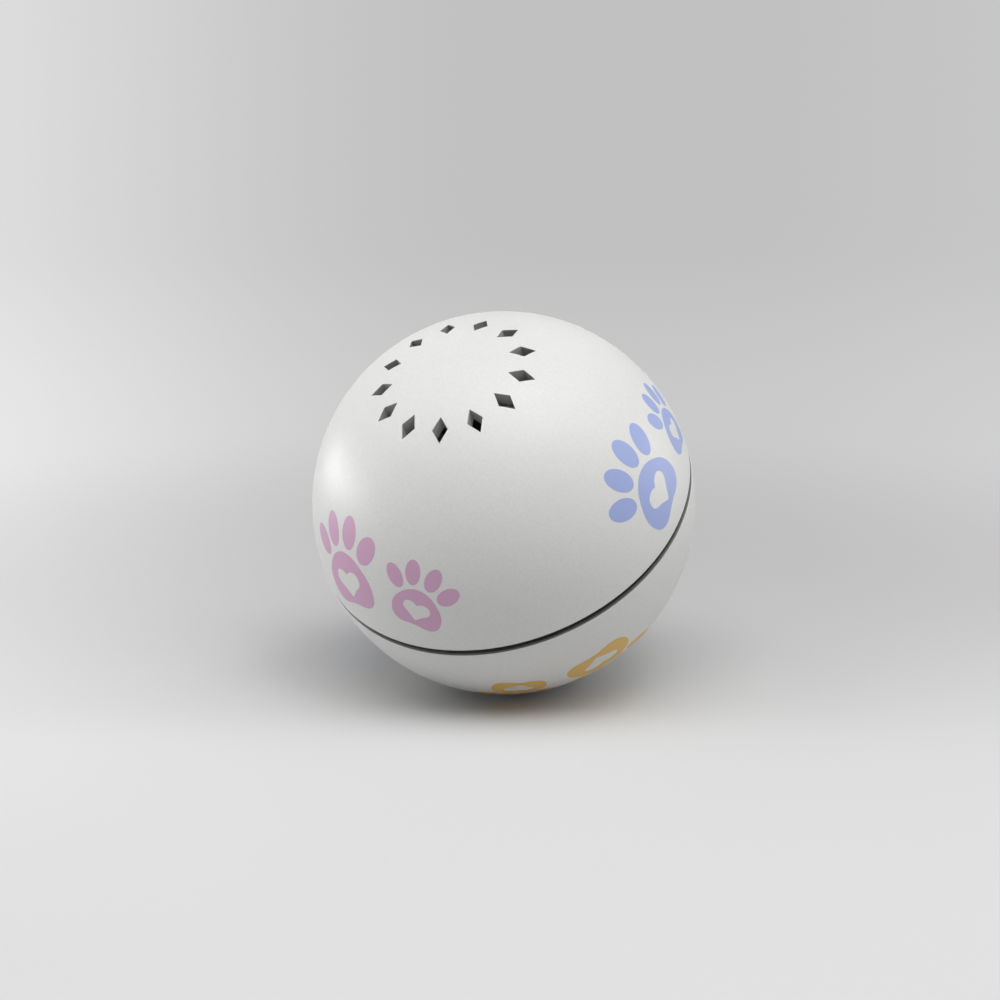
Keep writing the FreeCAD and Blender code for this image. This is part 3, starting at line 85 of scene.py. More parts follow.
CAMERA_AZIMUTH = math.radians(26.92)
CAMERA_HEIGHT = math.radians(13.0)
CAMERA_DISTANCE = 0.3325
CAMERA_LENS = 65.2
CAMERA_SENSOR = 36.0
# The ball's middle lies a little off the picture's middle.
CAMERA_SHIFT = (-0.00385, 0.00269)
CAMERA_CLIP = (0.005, 60.0)


def make_camera():
    data = bpy.data.cameras.new("camera")
    data.lens = CAMERA_LENS
    data.sensor_width = CAMERA_SENSOR
    data.shift_x, data.shift_y = CAMERA_SHIFT
    data.clip_start, data.clip_end = CAMERA_CLIP
    direction = outward(CAMERA_AZIMUTH, CAMERA_HEIGHT)
    bpy.context.scene.camera = look_at_ball("camera", data, direction, CAMERA_DISTANCE)


# Node trees


class NodeTree:
    """A node tree with short calls to add to it. A level is a number or another node's output."""

    def __init__(self, tree):
        self.tree = tree

    def node(self, kind, **settings):
        made = self.tree.nodes.new(kind)
        for key, value in settings.items():
            setattr(made, key, value)
        return made

    def feed(self, socket, level):
        if isinstance(level, bpy.types.NodeSocket):
            self.tree.links.new(level, socket)
        else:
            socket.default_value = level

    def maths(self, operation, first, second):
        made = self.node("ShaderNodeMath", operation=operation)
        self.feed(made.inputs[0], first)
        self.feed(made.inputs[1], second)
        return made.outputs[0]

    def length(self, vector):
        made = self.node("ShaderNodeVectorMath", operation="LENGTH")
        self.feed(made.inputs[0], vector)
        return made.outputs["Value"]

    def parts(self, vector):
        """The outputs X, Y and Z of a vector."""
        made = self.node("ShaderNodeSeparateXYZ")
        self.feed(made.inputs[0], vector)
        return made.outputs

    def span(self, level, ends, low, high, kind="LINEAR"):
        """From low to high while the level goes from the first end to the second, and even beyond them."""
        made = self.node("ShaderNodeMapRange", interpolation_type=kind)
        names = ("Value", "From Min", "From Max", "To Min", "To Max")
        for name, value in zip(names, (level, *ends, low, high)):
            self.feed(made.inputs[name], value)
        return made.outputs["Result"]

    def fade(self, level, ends, low, high):
        """The same, easing in and out."""
        return self.span(level, ends, low, high, "SMOOTHSTEP")

    def ramp(self, level, stops):
        """Grey levels given by position, smoothly joined."""
        made = self.node("ShaderNodeValToRGB")
        made.color_ramp.interpolation = "B_SPLINE"
        elements = made.color_ramp.elements
        while len(elements) < len(stops):
            elements.new(0.5)
        for element, (position, grey) in zip(elements, stops):
            element.position = position
            element.color = (grey, grey, grey, 1.0)
        self.feed(made.inputs["Fac"], level)
        return made.outputs["Color"]

    def mixed(self, share, first, second):
        """A colour between two colours."""
        made = self.node("ShaderNodeMix", data_type="RGBA")
        for name, value in (("Factor", share), ("A", first), ("B", second)):
            self.feed(made.inputs[name], value)
        return made.outputs["Result"]

    def shown(self):
        """1 for a ray that shows the surface to the camera, in a mirror or through glass."""
        path = self.node("ShaderNodeLightPath").outputs
        direct = self.maths("MAXIMUM", path["Is Camera Ray"], path["Is Glossy Ray"])
        return self.maths("MAXIMUM", direct, path["Is Transmission Ray"])

    def output(self, name, share, first, second):
        """Ends the tree with the first shader where the share is 0 and the second where it is 1."""
        mix = self.node("ShaderNodeMixShader")
        self.feed(mix.inputs["Fac"], share)
        self.feed(mix.inputs[1], first.outputs[0])
        self.feed(mix.inputs[2], second.outputs[0])
        self.feed(self.tree.nodes[name].inputs["Surface"], mix.outputs[0])


# Finishes

# The part of a noise's range over which a finish changes: as a rule, for a fine grain, and for cells
MIDDLE = (0.3, 0.7)
WIDE = (0.25, 0.75)
CELL = (0.0, 0.7)


class Finish(NodeTree):
    """A Principled material that is put together from small procedural parts."""

    def __init__(self, name, colour, roughness, metallic=0.0, **sockets):
        self.name = name
        self.colour = colour
        self.roughness = roughness
        self.material = bpy.data.materials.new(name)
        self.material.use_nodes = True
        super().__init__(self.material.node_tree)
        self.inputs = self.tree.nodes["Principled BSDF"].inputs
        self.inputs["Base Color"].default_value = (*colour, 1.0)
        self.inputs["Roughness"].default_value = roughness
        self.inputs["Metallic"].default_value = metallic
        for key, value in sockets.items():
            self.inputs[key.replace("_", " ")].default_value = value
        self.point = self.node("ShaderNodeTexCoord").outputs["Object"]

    def stretched(self, scale):
        """The point, turned upright about the axle and stretched."""
        made = self.node("ShaderNodeMapping")
        made.inputs["Rotation"].default_value = (-TILT, 0, 0)
        made.inputs["Scale"].default_value = scale
        self.feed(made.inputs["Vector"], self.point)
        return made.outputs["Vector"]

    def noise(self, scale, detail=2.0, roughness=0.5, vector=None, distortion=0.0):
        made = self.node("ShaderNodeTexNoise")
        made.inputs["Scale"].default_value = scale
        made.inputs["Detail"].default_value = detail
        made.inputs["Roughness"].default_value = roughness
        made.inputs["Distortion"].default_value = distortion
        self.feed(made.inputs["Vector"], vector or self.point)
        return made.outputs["Fac"]

    def cells(self, scale):
        made = self.node("ShaderNodeTexVoronoi")
        made.inputs["Scale"].default_value = scale
        self.feed(made.inputs["Vector"], self.point)
        return made.outputs["Distance"]

    def tint(self, level, dark, light, ends=MIDDLE):
        """Varies the base colour between the colour made darker and the colour made lighter."""
        first = (*(c * dark for c in self.colour), 1.0)
        second = (*(min(1.0, c * light) for c in self.colour), 1.0)
        share = self.span(level, ends, 0.0, 1.0)
        self.feed(self.inputs["Base Color"], self.mixed(share, first, second))
        return self

    def rough(self, level, by, ends=MIDDLE):
        """Varies the roughness about its own value."""
        low, high = max(0.0, self.roughness - by), min(1.0, self.roughness + by)
        self.feed(self.inputs["Roughness"], self.span(level, ends, low, high))
        return self

    def bump(self, level, depth):
        """Bumps the surface by a depth in millimetres, on top of what bumps it already."""
        made = self.node("ShaderNodeBump")
        made.inputs["Distance"].default_value = depth * MM
        self.feed(made.inputs["Height"], level)
        normal = self.inputs["Normal"]
        if normal.links:
            self.feed(made.inputs["Normal"], normal.links[0].from_socket)
        self.feed(normal, made.outputs["Normal"])
        return self


def moulded(name, colour, roughness=0.45, grain=2600, depth=0.004, **sockets):
    """Moulded plastic with a fine spark-eroded grain and faint flow marks."""
    made = Finish(name, colour, roughness, **sockets)
    fine = made.noise(grain, 3.0, 0.6)
    broad = made.noise(120)
    return made.tint(broad, 0.955, 1.02).rough(fine, 0.07).bump(fine, depth)


def metal(name, colour, roughness=0.28, grain=900, stretch=(1, 1, 14), depth=0.002):
    """Metal with the fine lines of grinding or drawing across the axle's direction."""
    made = Finish(name, colour, roughness, 1.0)
    lines = made.noise(grain, 4.0, 0.6, made.stretched(stretch))
    stain = made.noise(160, 3.0, 0.55)
    return made.tint(stain, 0.88, 1.03).rough(lines, 0.09).bump(lines, depth)


def printed(name, colour):
    """Pad-printed ink: a little flatter than the shell, with the shell's grain showing through."""
    made = Finish(name, colour, 0.44)
    grain = made.noise(4200, 3.0, 0.65)
    return made.tint(grain, 0.94, 1.05, WIDE).rough(grain, 0.05).bump(grain, 0.004)


SHELL_WHITE = (0.80, 0.80, 0.785)
# The inner faces' dark grey is painted shade inside the ball.
SHELL_INNER_SHADE = (0.07, 0.07, 0.068)
# Depths under the skin, in millimetres, where the pearl coat thins out and where the inner face begins
COAT_DEPTHS = (0.04, 0.10)
INNER_DEPTHS = (2.15, 2.38)


def pearl_coated(name, cut):
    """Pearl lacquer on the ball's outer skin, the bare cut walls under it, greyed partly as painted shade,
    and inner faces darkened as painted shade.
    """
    made = Finish(name, SHELL_WHITE, 0.41, Specular_IOR_Level=0.35, Coat_Weight=0.05, Coat_Roughness=0.28)
    grain = made.noise(2400, 3.0, 0.65)
    mist = made.noise(900)
    made.tint(grain, 0.945, 1.035, WIDE).rough(mist, 0.05).bump(grain, 0.018)
    height = made.length(made.point)
    colour = made.inputs["Base Color"].links[0].from_socket
    # By depth under the skin: the cut walls' grey, partly painted shade, then the inner faces' painted
    # shade.
    for under, (start, end) in ((cut, COAT_DEPTHS), (SHELL_INNER_SHADE, INNER_DEPTHS)):
        ends = ((BALL_RADIUS - end) * MM, (BALL_RADIUS - start) * MM)
        colour = made.mixed(made.span(height, ends, 0.0, 1.0), (*under, 1.0), colour)
    made.feed(made.inputs["Base Color"], colour)
    return made


def cast_weight():
    """Rough cast metal."""
    made = Finish("weight", (0.40, 0.41, 0.42), 0.42, 1.0)
    lumps = made.noise(420, 5.0, 0.7)
    frost = made.cells(1500)
    return made.tint(lumps, 0.80, 1.08).rough(frost, 0.12, CELL).bump(lumps, 0.05).bump(frost, 0.008)


def battery_foil():
    """Creased foil with a fine weave."""
    made = Finish("battery_foil", (0.62, 0.64, 0.67), 0.30, 1.0)
    creases = made.noise(150, 3.0, distortion=0.6)
    weave = made.noise(1400, 3.0, 0.6)
    return made.tint(creases, 0.90, 1.04).rough(weave, 0.08).bump(creases, 0.06).bump(weave, 0.004)


def foam():
    """Open black foam."""
    made = Finish("foam", (0.030, 0.030, 0.034), 0.95, Sheen_Weight=0.3)
    pores = made.cells(2600)
    return made.tint(pores, 0.5, 1.3, (0.1, 0.7)).bump(pores, 0.08)


def battery_guard():
    """Amber film over the cell's guard board."""
    made = Finish("guard", (0.56, 0.26, 0.03), 0.22, Coat_Weight=0.4, Coat_Roughness=0.12)
    wrinkles = made.noise(260, 3.0, distortion=0.4)
    return made.tint(wrinkles, 0.85, 1.1).rough(made.noise(900), 0.06).bump(wrinkles, 0.03)


def circuit_board():
    """Green lacquer over a woven glass board."""
    made = Finish("board", (0.006, 0.085, 0.036), 0.26, Coat_Weight=0.5, Coat_Roughness=0.15)
    weave_x = made.noise(700, 1.0, vector=made.stretched((1, 5, 1)))
    weave_y = made.noise(700, 1.0, vector=made.stretched((5, 1, 1)))
    made.tint(made.noise(220, 3.0), 0.85, 1.15).rough(weave_x, 0.05)
    return made.bump(weave_x, 0.006).bump(weave_y, 0.006)


def status_light():
    """Cloudy clear resin."""
    made = Finish("led", (0.86, 0.88, 0.72), 0.12, Transmission_Weight=0.5, IOR=1.5)
    cloud = made.noise(1800)
    return made.tint(cloud, 0.9, 1.05).rough(cloud, 0.05)


def make_finishes():
    """Every finish by name: of a material slot, of a node unlike its slot, or of an added piece."""
    made = (
        # The second colours are the cut walls' grey: partly bare plastic, partly painted shade in the vents
        # and the seam.
        pearl_coated("shell", (0.52, 0.52, 0.50)),
        pearl_coated("lower_shell", (0.13, 0.13, 0.128)),
        cast_weight(),
        battery_foil(),
        foam(),
        battery_guard(),
        circuit_board(),
        status_light(),
        moulded("seal", (0.012, 0.012, 0.013), 0.62, 3200, 0.006),
        moulded("bearing", (0.74, 0.71, 0.62), 0.40, Subsurface_Weight=0.1),
        moulded("lid", (0.70, 0.72, 0.74), 0.52, 2400, 0.006),
        moulded("frame", (0.020, 0.021, 0.024), 0.55, 2200, 0.008),
        moulded("deck", (0.34, 0.37, 0.41), 0.50, 2200, 0.008),
        moulded("motor_nylon", (0.80, 0.80, 0.76), 0.46, Subsurface_Weight=0.1),
        moulded("gear_white", (0.80, 0.80, 0.75), 0.38, 2000, 0.003, Subsurface_Weight=0.15),
        moulded("gear_orange", (0.72, 0.26, 0.05), 0.38, 2000, 0.003),
        moulded("black_nylon", (0.014, 0.014, 0.016), 0.42),
        moulded("chip", (0.018, 0.018, 0.020), 0.50, 3600, 0.006),
        moulded("ceramic", (0.36, 0.25, 0.15), 0.35, 5000, 0.004),
        moulded("button", (0.24, 0.36, 0.72), 0.40),
        moulded("connector", (0.80, 0.76, 0.62), 0.44, Subsurface_Weight=0.1),
        moulded("lead_red", (0.46, 0.014, 0.010), 0.40, 3000, 0.003, Sheen_Weight=0.1),
        moulded("lead_black", (0.014, 0.014, 0.015), 0.40, 3000, 0.003, Sheen_Weight=0.1),
        moulded("track", (0.014, 0.150, 0.062), 0.24, 2600, 0.002),
        moulded("silk", (0.78, 0.79, 0.76), 0.55, 3000, 0.002),
        metal("steel", (0.56, 0.57, 0.58), 0.22),
        metal("spring_steel", (0.11, 0.115, 0.13), 0.34),
        metal("motor_steel", (0.66, 0.66, 0.65), 0.24),
        metal("brass", (0.70, 0.49, 0.20), 0.25),
        metal("socket_steel", (0.68, 0.69, 0.70), 0.18),
        metal("sensor", (0.74, 0.55, 0.22), 0.24),
        metal("screw", (0.56, 0.57, 0.59), 0.26),
        metal("tin", (0.72, 0.72, 0.71), 0.30, 1400, (1, 1, 1), 0.004),
        printed("print_pink", (0.670, 0.395, 0.580)),
        printed("print_blue", (0.365, 0.445, 0.770)),
        printed("print_orange", (0.780, 0.495, 0.125)),
    )
    return {finish.name: finish for finish in made}


# Shapes

# The least cosine reckoned with at a mitred corner, so that a sharp one doesn't reach out too far
MITRE_LEAST = 0.3
# A chip leg's thickness along its foot and at its shoulder
LEG_FOOT = 0.10
LEG_SHOULDER = 0.12
DROP_SIDES = 14
DROP_RINGS = 4


def object_from(name, verts, faces, material):
    mesh = bpy.data.meshes.new(name)
    mesh.from_pydata([tuple(v) for v in verts], [], faces)
    mesh.validate()
    mesh.materials.append(material)
    made = bpy.data.objects.new(name, mesh)
    bpy.context.scene.collection.objects.link(made)
    return made


class Shape:
    """Verts and faces of several closed pieces, gathered into one object."""

    def __init__(self):
        self.verts, self.faces = [], []

    def layers(self, directions, triangles, outer, inner):
        """A closed piece between two radii, over triangles whose corners are given as directions."""
        first, count = len(self.verts), len(directions)
        edges = {edge for t in triangles for edge in zip(t, t[1:] + t[:1])}
        rim = [(a, b) for t in triangles for a, b in zip(t, t[1:] + t[:1]) if (b, a) not in edges]
        for radius in (outer, inner):
            self.verts += [place(*(p * radius)) for p in directions]
        self.faces += [tuple(first + i for i in t) for t in triangles]
        self.faces += [tuple(first + count + i for i in reversed(t)) for t in triangles]
        self.faces += [(first + b, first + a, first + count + a, first + count + b) for a, b in rim]

    def prism(self, bottom, top):
        """A closed piece between two outlines with as many points each."""
        first, count = len(self.verts), len(bottom)
        self.verts += [place(*p) for p in bottom] + [place(*p) for p in top]
        self.faces.append(tuple(first + k for k in reversed(range(count))))
        self.faces.append(tuple(first + count + k for k in range(count)))
        for k in range(count):
            n = (k + 1) % count
            self.faces.append((first + k, first + n, first + count + n, first + count + k))

    def slab(self, outline, low, high):
        self.prism([(x, y, low) for x, y in outline], [(x, y, high) for x, y in outline])

    def block(self, x0, y0, x1, y1, low, high):
        self.slab([(x0, y0), (x1, y0), (x1, y1), (x0, y1)], low, high)

    def ribbon(self, points, width, low, high):
        """A flat strip of even width along a line of points, mitred at its corners."""
        left, right = [], []
        for k, point in enumerate(points):
            here = Vector(point)
            ahead = (Vector(points[k + 1]) - here).normalized() if k + 1 < len(points) else None
            back = (here - Vector(points[k - 1])).normalized() if k else None
            one, two = back or ahead, ahead or back
            across = Vector((-one.y - two.y, one.x + two.x)).normalized()
            reach = width / 2 / max(MITRE_LEAST, across.dot(Vector((-one.y, one.x))))
            left.append(tuple(here + across * reach))
            right.append(tuple(here - across * reach))
        for k in range(len(points) - 1):
            self.slab([right[k], right[k + 1], left[k + 1], left[k]], low, high)

    def leg(self, x, y, turn, foot, height, width, reach):
        """A gull-wing leg that leaves a chip's side at (x, y) in the direction of turn, in degrees."""
        # out from the chip's side, and up from the board
        profile = [(-0.10, height), (0.22, height), (0.36, LEG_FOOT), (reach, LEG_FOOT),
                   (reach, 0.0), (0.28, 0.0), (0.14, height - LEG_SHOULDER), (-0.10, height - LEG_SHOULDER)]
        sides = []
        for side in (width / 2, -width / 2):
            outline = [(*turned(u, side, turn), v) for u, v in profile]
            sides.append([(x + u, y + w, foot + v) for u, w, v in outline])
        self.prism(*sides)

    def drop(self, x, y, low, radius, height):
        """A solder fillet: a low dome on the board."""
        first = len(self.verts)
        for r in range(DROP_RINGS):
            a = math.pi / 2 * r / DROP_RINGS
            for k in range(DROP_SIDES):
                t = 2 * math.pi * k / DROP_SIDES
                self.verts.append(place(x + radius * math.cos(a) * math.cos(t),
                                        y + radius * math.cos(a) * math.sin(t), low + height * math.sin(a)))
        tip = len(self.verts)
        self.verts.append(place(x, y, low + height))
        for r in range(DROP_RINGS - 1):
            lower, upper = first + r * DROP_SIDES, first + (r + 1) * DROP_SIDES
            for k in range(DROP_SIDES):
                n = (k + 1) % DROP_SIDES
                self.faces.append((lower + k, lower + n, upper + n, upper + k))
        last = tip - DROP_SIDES
        self.faces += [(last + k, last + (k + 1) % DROP_SIDES, tip) for k in range(DROP_SIDES)]
        self.faces.append(tuple(first + k for k in reversed(range(DROP_SIDES))))

    def joined(self, name, finish, sharp=None):
        """One object of it all, shaded flat, or smooth but for edges of more than sharp degrees."""
        made = object_from(name, self.verts, self.faces, finish.material)
        if sharp:
            made.data.shade_smooth()
            made.data.set_sharp_from_angle(angle=math.radians(sharp))
        return made


# Paw prints

PRINT_LIFT = 0.02
PRINT_DEPTH = 0.05
PRINT_SHARP = 40
# Radii of the pad and of the heart left open in it, by the angle in degrees, in half widths of the pad
PAD = {0: 0.95, 15: 0.91, 30: 0.87, 45: 0.86, 60: 0.87, 75: 0.88, 90: 0.89,
       270: 0.65, 285: 0.68, 300: 0.80, 315: 0.94, 330: 1.00, 345: 0.98}
PAD_CENTRE = (0.0, 0.0)
PAD_POINTS = 72
HEART = {0: 0.52, 15: 0.52, 30: 0.50, 45: 0.42, 60: 0.33, 75: 0.25, 90: 0.19,
         270: 0.48, 285: 0.41, 300: 0.37, 315: 0.36, 330: 0.39, 345: 0.46}
HEART_CENTRE = (0.0, 0.05)
HEART_POINTS = 48
# middle x, middle y, half length, half width, turn of the long side
TOES = (
    (1.03, 1.04, 0.465, 0.300, 50.0),
    (0.39, 1.46, 0.480, 0.288, 77.0),
    (-0.39, 1.46, 0.480, 0.288, 98.0),
    (-1.03, 1.04, 0.465, 0.300, 132.0),
)
TOE_POINTS = 40
# The print is filled with points this far apart, and none nearer to an outline than a share of that.
FILL_STEP = 0.12
FILL_CLEAR = 0.4
FILL_TOLERANCE = 1e-6
# body, ink, azimuth, latitude, half width of the pad in millimetres, lean of the toes from the upper pole
PRINTS = (
    ("upper_shell", "pink", -116.4, 17.1, 6.55, 17.6),
    ("upper_shell", "pink", -90.0, 16.4, 4.96, -18.6),
    ("upper_shell", "blue", -2.5, 16.2, 6.62, 17.0),
    ("upper_shell", "blue", 23.8, 14.7, 5.00, -18.5),
    ("upper_shell", "orange", 111.5, 16.6, 6.60, 17.3),
    ("upper_shell", "orange", 138.0, 16.8, 5.00, -18.5),
    ("lower_shell", "orange", -42.3, -24.5, 6.60, 197.0),
    ("lower_shell", "orange", -70.1, -24.4, 5.20, 161.5),
    ("lower_shell", "pink", 71.7, -24.5, 6.60, 197.0),
    ("lower_shell", "pink", 43.9, -24.4, 5.20, 161.5),
    ("lower_shell", "blue", 185.7, -24.5, 6.60, 197.0),
    ("lower_shell", "blue", 157.9, -24.4, 5.20, 161.5),
)


def smooth_ring(radii, centre, count):
    """A closed outline through radii given by angle on the right half, mirrored to the left half."""
    full = dict(radii)
    for angle, radius in radii.items():
        full[(180 - angle) % 360] = radius
    angles = sorted(full)
    points = []
    for k in range(count):
        a = 360.0 * k / count
        i = max(j for j in range(len(angles)) if angles[j] <= a)
        p0, p1, p2, p3 = (full[angles[(i + d) % len(angles)]] for d in (-1, 0, 1, 2))
        t = (a - angles[i]) / ((angles[(i + 1) % len(angles)] - angles[i]) % 360)
        # a Catmull-Rom curve from p1 to p2
        r = 0.5 * (2 * p1 + (p2 - p0) * t + (2 * p0 - 5 * p1 + 4 * p2 - p3) * t * t
                   + (3 * p1 - p0 - 3 * p2 + p3) * t ** 3)
        x, y = turned(r, 0.0, a)
        points.append((centre[0] + x, centre[1] + y))
    return points


def oval_ring(x, y, half_length, half_width, turn):
    points = []
    for k in range(TOE_POINTS):
        a = 2 * math.pi * k / TOE_POINTS
        u, v = turned(half_length * math.cos(a), half_width * math.sin(a), turn)
        points.append((x + u, y + v))
    return points


def inside(p, ring):
    hit = False
    for (x0, y0), (x1, y1) in zip(ring, ring[1:] + ring[:1]):
        if (y0 > p[1]) != (y1 > p[1]) and p[0] < (x1 - x0) * (p[1] - y0) / (y1 - y0) + x0:
            hit = not hit
    return hit


def filled(outer, hole=()):
    """Points and triangles of a flat shape with an outline and perhaps a hole."""
    rings = [outer, hole] if hole else [outer]

    def covered(p):
        return inside(p, outer) and not (hole and inside(p, hole))

    points, edges = [], []
    for ring in rings:
        first = len(points)
        points += ring
        edges += [(first + k, first + (k + 1) % len(ring)) for k in range(len(ring))]
    xs, ys = [p[0] for p in outer], [p[1] for p in outer]
    x = min(xs)
    while x < max(xs):
        y = min(ys)
        while y < max(ys):
            nearest = min((x - u) ** 2 + (y - v) ** 2 for ring in rings for u, v in ring)
            if covered((x, y)) and nearest > (FILL_CLEAR * FILL_STEP) ** 2:
                points.append((x, y))
            y += FILL_STEP
        x += FILL_STEP
    points = [Vector(p) for p in points]
    verts, _, faces, *_ = geometry.delaunay_2d_cdt(points, edges, [], 0, FILL_TOLERANCE)
    middles = [sum((verts[i] for i in face), Vector((0, 0))) / len(face) for face in faces]
    return verts, [tuple(face) for face, middle in zip(faces, middles) if covered(middle)]


def wrapped(points, azimuth, latitude, size, lean):
    """The print's flat points laid on the ball, as directions about the upright axle."""
    a, b = math.radians(azimuth), math.radians(latitude)
    out = Vector((math.cos(a) * math.cos(b), math.sin(a) * math.cos(b), math.sin(b)))
    east = Vector((-math.sin(a), math.cos(a), 0.0))
    north = out.cross(east)
    laid = []
    for x, y in points:
        u, v = (part * size / BALL_RADIUS for part in turned(x, y, lean))
        d = math.hypot(u, v)
        k = math.sin(d) / d if d else 1.0
        laid.append(out * math.cos(d) + (east * u + north * v) * k)
    return laid


def make_prints(finishes):
    pad = smooth_ring(PAD, PAD_CENTRE, PAD_POINTS)
    heart = smooth_ring(HEART, HEART_CENTRE, HEART_POINTS)
    flat = [filled(pad, heart)] + [filled(oval_ring(*toe)) for toe in TOES]
    outer = BALL_RADIUS + PRINT_LIFT
    for number, (body, ink, azimuth, latitude, size, lean) in enumerate(PRINTS, 1):
        paw = Shape()
        for points, triangles in flat:
            laid = wrapped(points, azimuth, latitude, size, lean)
            paw.layers(laid, triangles, outer, outer - PRINT_DEPTH)
        made = paw.joined(f"paw_print_{number}_{ink}", finishes["print_" + ink], PRINT_SHARP)
        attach(made, body)


# Small pieces on the circuit board, in millimetres

# Legs of the controller chip on four sides, and of the charger chip on two
CHIP_LEGS = 5
CHIP_PITCH = 0.9
CHIP_LEG = {"height": 0.55, "width": 0.28, "reach": 0.75}
CHARGER_LEGS = 3
CHARGER_PITCH = 0.95
CHARGER_LEG = {"height": 0.50, "width": 0.36, "reach": 0.62}
# Tinned end caps of the passive pieces, which lap over them, and the status light's two pads
CAP_LENGTH = 0.34
CAP_LAP = 0.02
PAD_HALF = 0.18
PAD_INSET = 0.1
PAD_HEIGHT = 0.25
# Solder on the vibration sensor's three pins: their circle, step and start in radians, and the drop
PIN_CIRCLE = 1.9
PIN_STEP, PIN_START = 2.1, 0.6
PIN_DROP = (0.32, 0.3)
DROP_SHARP = 50
# Printed corners round the larger pieces, clear of their legs or pins
OUTLINE_WIDTH = 0.14
OUTLINE_ARM = 1.0
OUTLINE_LAYER = (0.002, 0.022)
OUTLINE_PAST_LEGS = 1.03
OUTLINE_PAST_PINS = 0.73
OUTLINE_AT_EDGE = 0.1
# Tracks, sunk a little so that they are joined to the board
TRACK_WIDTH = 0.28
TRACK_THICKNESS = 0.035
TRACK_SINK = 0.02
WELD_DISTANCE = 1e-6


class Box:
    """The room that a piece takes, in millimetres about the upright axle."""

    def __init__(self, points):
        self.low = Vector([min(p[k] for p in points) for k in range(3)])
        self.high = Vector([max(p[k] for p in points) for k in range(3)])
        self.middle = (self.low + self.high) / 2


def node_box(node):
    return Box([upright(v.co) for v in nodes[node].data.vertices])


def island_boxes(node):
    """The box of each separate solid of a node."""
    mesh = bmesh.new()
    mesh.from_mesh(nodes[node].data)
    bmesh.ops.remove_doubles(mesh, verts=mesh.verts[:], dist=WELD_DISTANCE)
    left, boxes = set(mesh.verts), []
    while left:
        island, queue = [], [left.pop()]
        while queue:
            vert = queue.pop()
            island.append(upright(vert.co))
            near = {edge.other_vert(vert) for edge in vert.link_edges} & left
            left -= near
            queue += near
        boxes.append(Box(island))
    mesh.free()
    return sorted(boxes, key=lambda box: tuple(box.low))


def steps(count, pitch):
    """Evenly spaced places about 0."""
    return [pitch * (k - (count - 1) / 2) for k in range(count)]


def add_to_board(shape, name, finish, sharp=None):
    made = shape.joined(name, finish, sharp)
    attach(made, "core")


def chip_legs(finishes, box, top):
    legs = Shape()
    chip, charger = box["controller_chip"], box["charger_chip"]
    for along in steps(CHIP_LEGS, CHIP_PITCH):
        legs.leg(chip.low.x, chip.middle.y + along, 180, top, **CHIP_LEG)
        legs.leg(chip.high.x, chip.middle.y + along, 0, top, **CHIP_LEG)
        legs.leg(chip.middle.x + along, chip.low.y, 270, top, **CHIP_LEG)
        legs.leg(chip.middle.x + along, chip.high.y, 90, top, **CHIP_LEG)
    for along in steps(CHARGER_LEGS, CHARGER_PITCH):
        legs.leg(charger.low.x, charger.middle.y + along, 180, top, **CHARGER_LEG)
        legs.leg(charger.high.x, charger.middle.y + along, 0, top, **CHARGER_LEG)
    add_to_board(legs, "chip_legs", finishes["tin"])


def component_caps(finishes, box, top):
    caps = Shape()
    for piece in island_boxes("board_passives"):
        low, high = piece.low, piece.high
        for x0, x1 in ((low.x - CAP_LAP, low.x + CAP_LENGTH), (high.x - CAP_LENGTH, high.x + CAP_LAP)):
            caps.block(x0, low.y - CAP_LAP, x1, high.y + CAP_LAP, top, high.z + CAP_LAP)
    led = box["status_led"]
    for x in (led.low.x, led.high.x):
        caps.block(x - PAD_HALF, led.low.y + PAD_INSET, x + PAD_HALF, led.high.y - PAD_INSET,
                   top, top + PAD_HEIGHT)
    add_to_board(caps, "component_caps", finishes["tin"])


def solder_joints(finishes, box, top):
    solder = Shape()
    usb, switch, sensor = box["usb_socket"], box["power_switch"], box["vibration_sensor"]
    battery_plug, motor_plug = box["battery_connector"], box["motor_connector"]
    # piece, distance out from its two sides, places along them, radius and height of each drop
    rows = (
        (usb, 0.25, (usb.low.y + 1.6, usb.high.y - 1.3), 0.75, 0.7),
        (battery_plug, 0.2, (battery_plug.middle.y + 0.8,), 0.5, 0.5),
        (motor_plug, 0.2, (motor_plug.middle.y + 0.8,), 0.5, 0.5),
        (switch, 0.15, (switch.low.y + 1.2, switch.high.y - 1.2), 0.55, 0.5),
    )
    for piece, out, places, radius, height in rows:
        for x in (piece.low.x - out, piece.high.x + out):
            for y in places:
                solder.drop(x, y, top, radius, height)
    for k in range(3):
        a = PIN_STEP * k + PIN_START
        solder.drop(sensor.middle.x + PIN_CIRCLE * math.cos(a), sensor.middle.y + PIN_CIRCLE * math.sin(a),
                    top, *PIN_DROP)
    add_to_board(solder, "solder_joints", finishes["tin"], DROP_SHARP)


def board_outlines(finishes, box, top):
    outlines = Shape()
    low, high = (top + height for height in OUTLINE_LAYER)
    for name in ("controller_chip", "charger_chip", "power_switch", "battery_connector", "motor_connector"):
        reach = OUTLINE_PAST_LEGS if name.endswith("chip") else OUTLINE_PAST_PINS
        x0, y0 = box[name].low.x - reach, box[name].low.y - reach
        x1, y1 = box[name].high.x + reach, box[name].high.y + reach
        if name == "motor_connector":
            y1 = box[name].high.y + OUTLINE_AT_EDGE
        for x, y, in_x, in_y in ((x0, y0, 1, 1), (x1, y0, -1, 1), (x0, y1, 1, -1), (x1, y1, -1, -1)):
            corner = [(x + in_x * OUTLINE_ARM, y), (x, y), (x, y + in_y * OUTLINE_ARM)]
            outlines.ribbon(corner, OUTLINE_WIDTH, low, high)
    add_to_board(outlines, "board_outlines", finishes["silk"])


def board_tracks(finishes, box, top):
    tracks = Shape()
    for route in track_routes(box):
        tracks.ribbon(route, TRACK_WIDTH, top - TRACK_SINK, top + TRACK_THICKNESS)
    add_to_board(tracks, "board_tracks", finishes["track"])


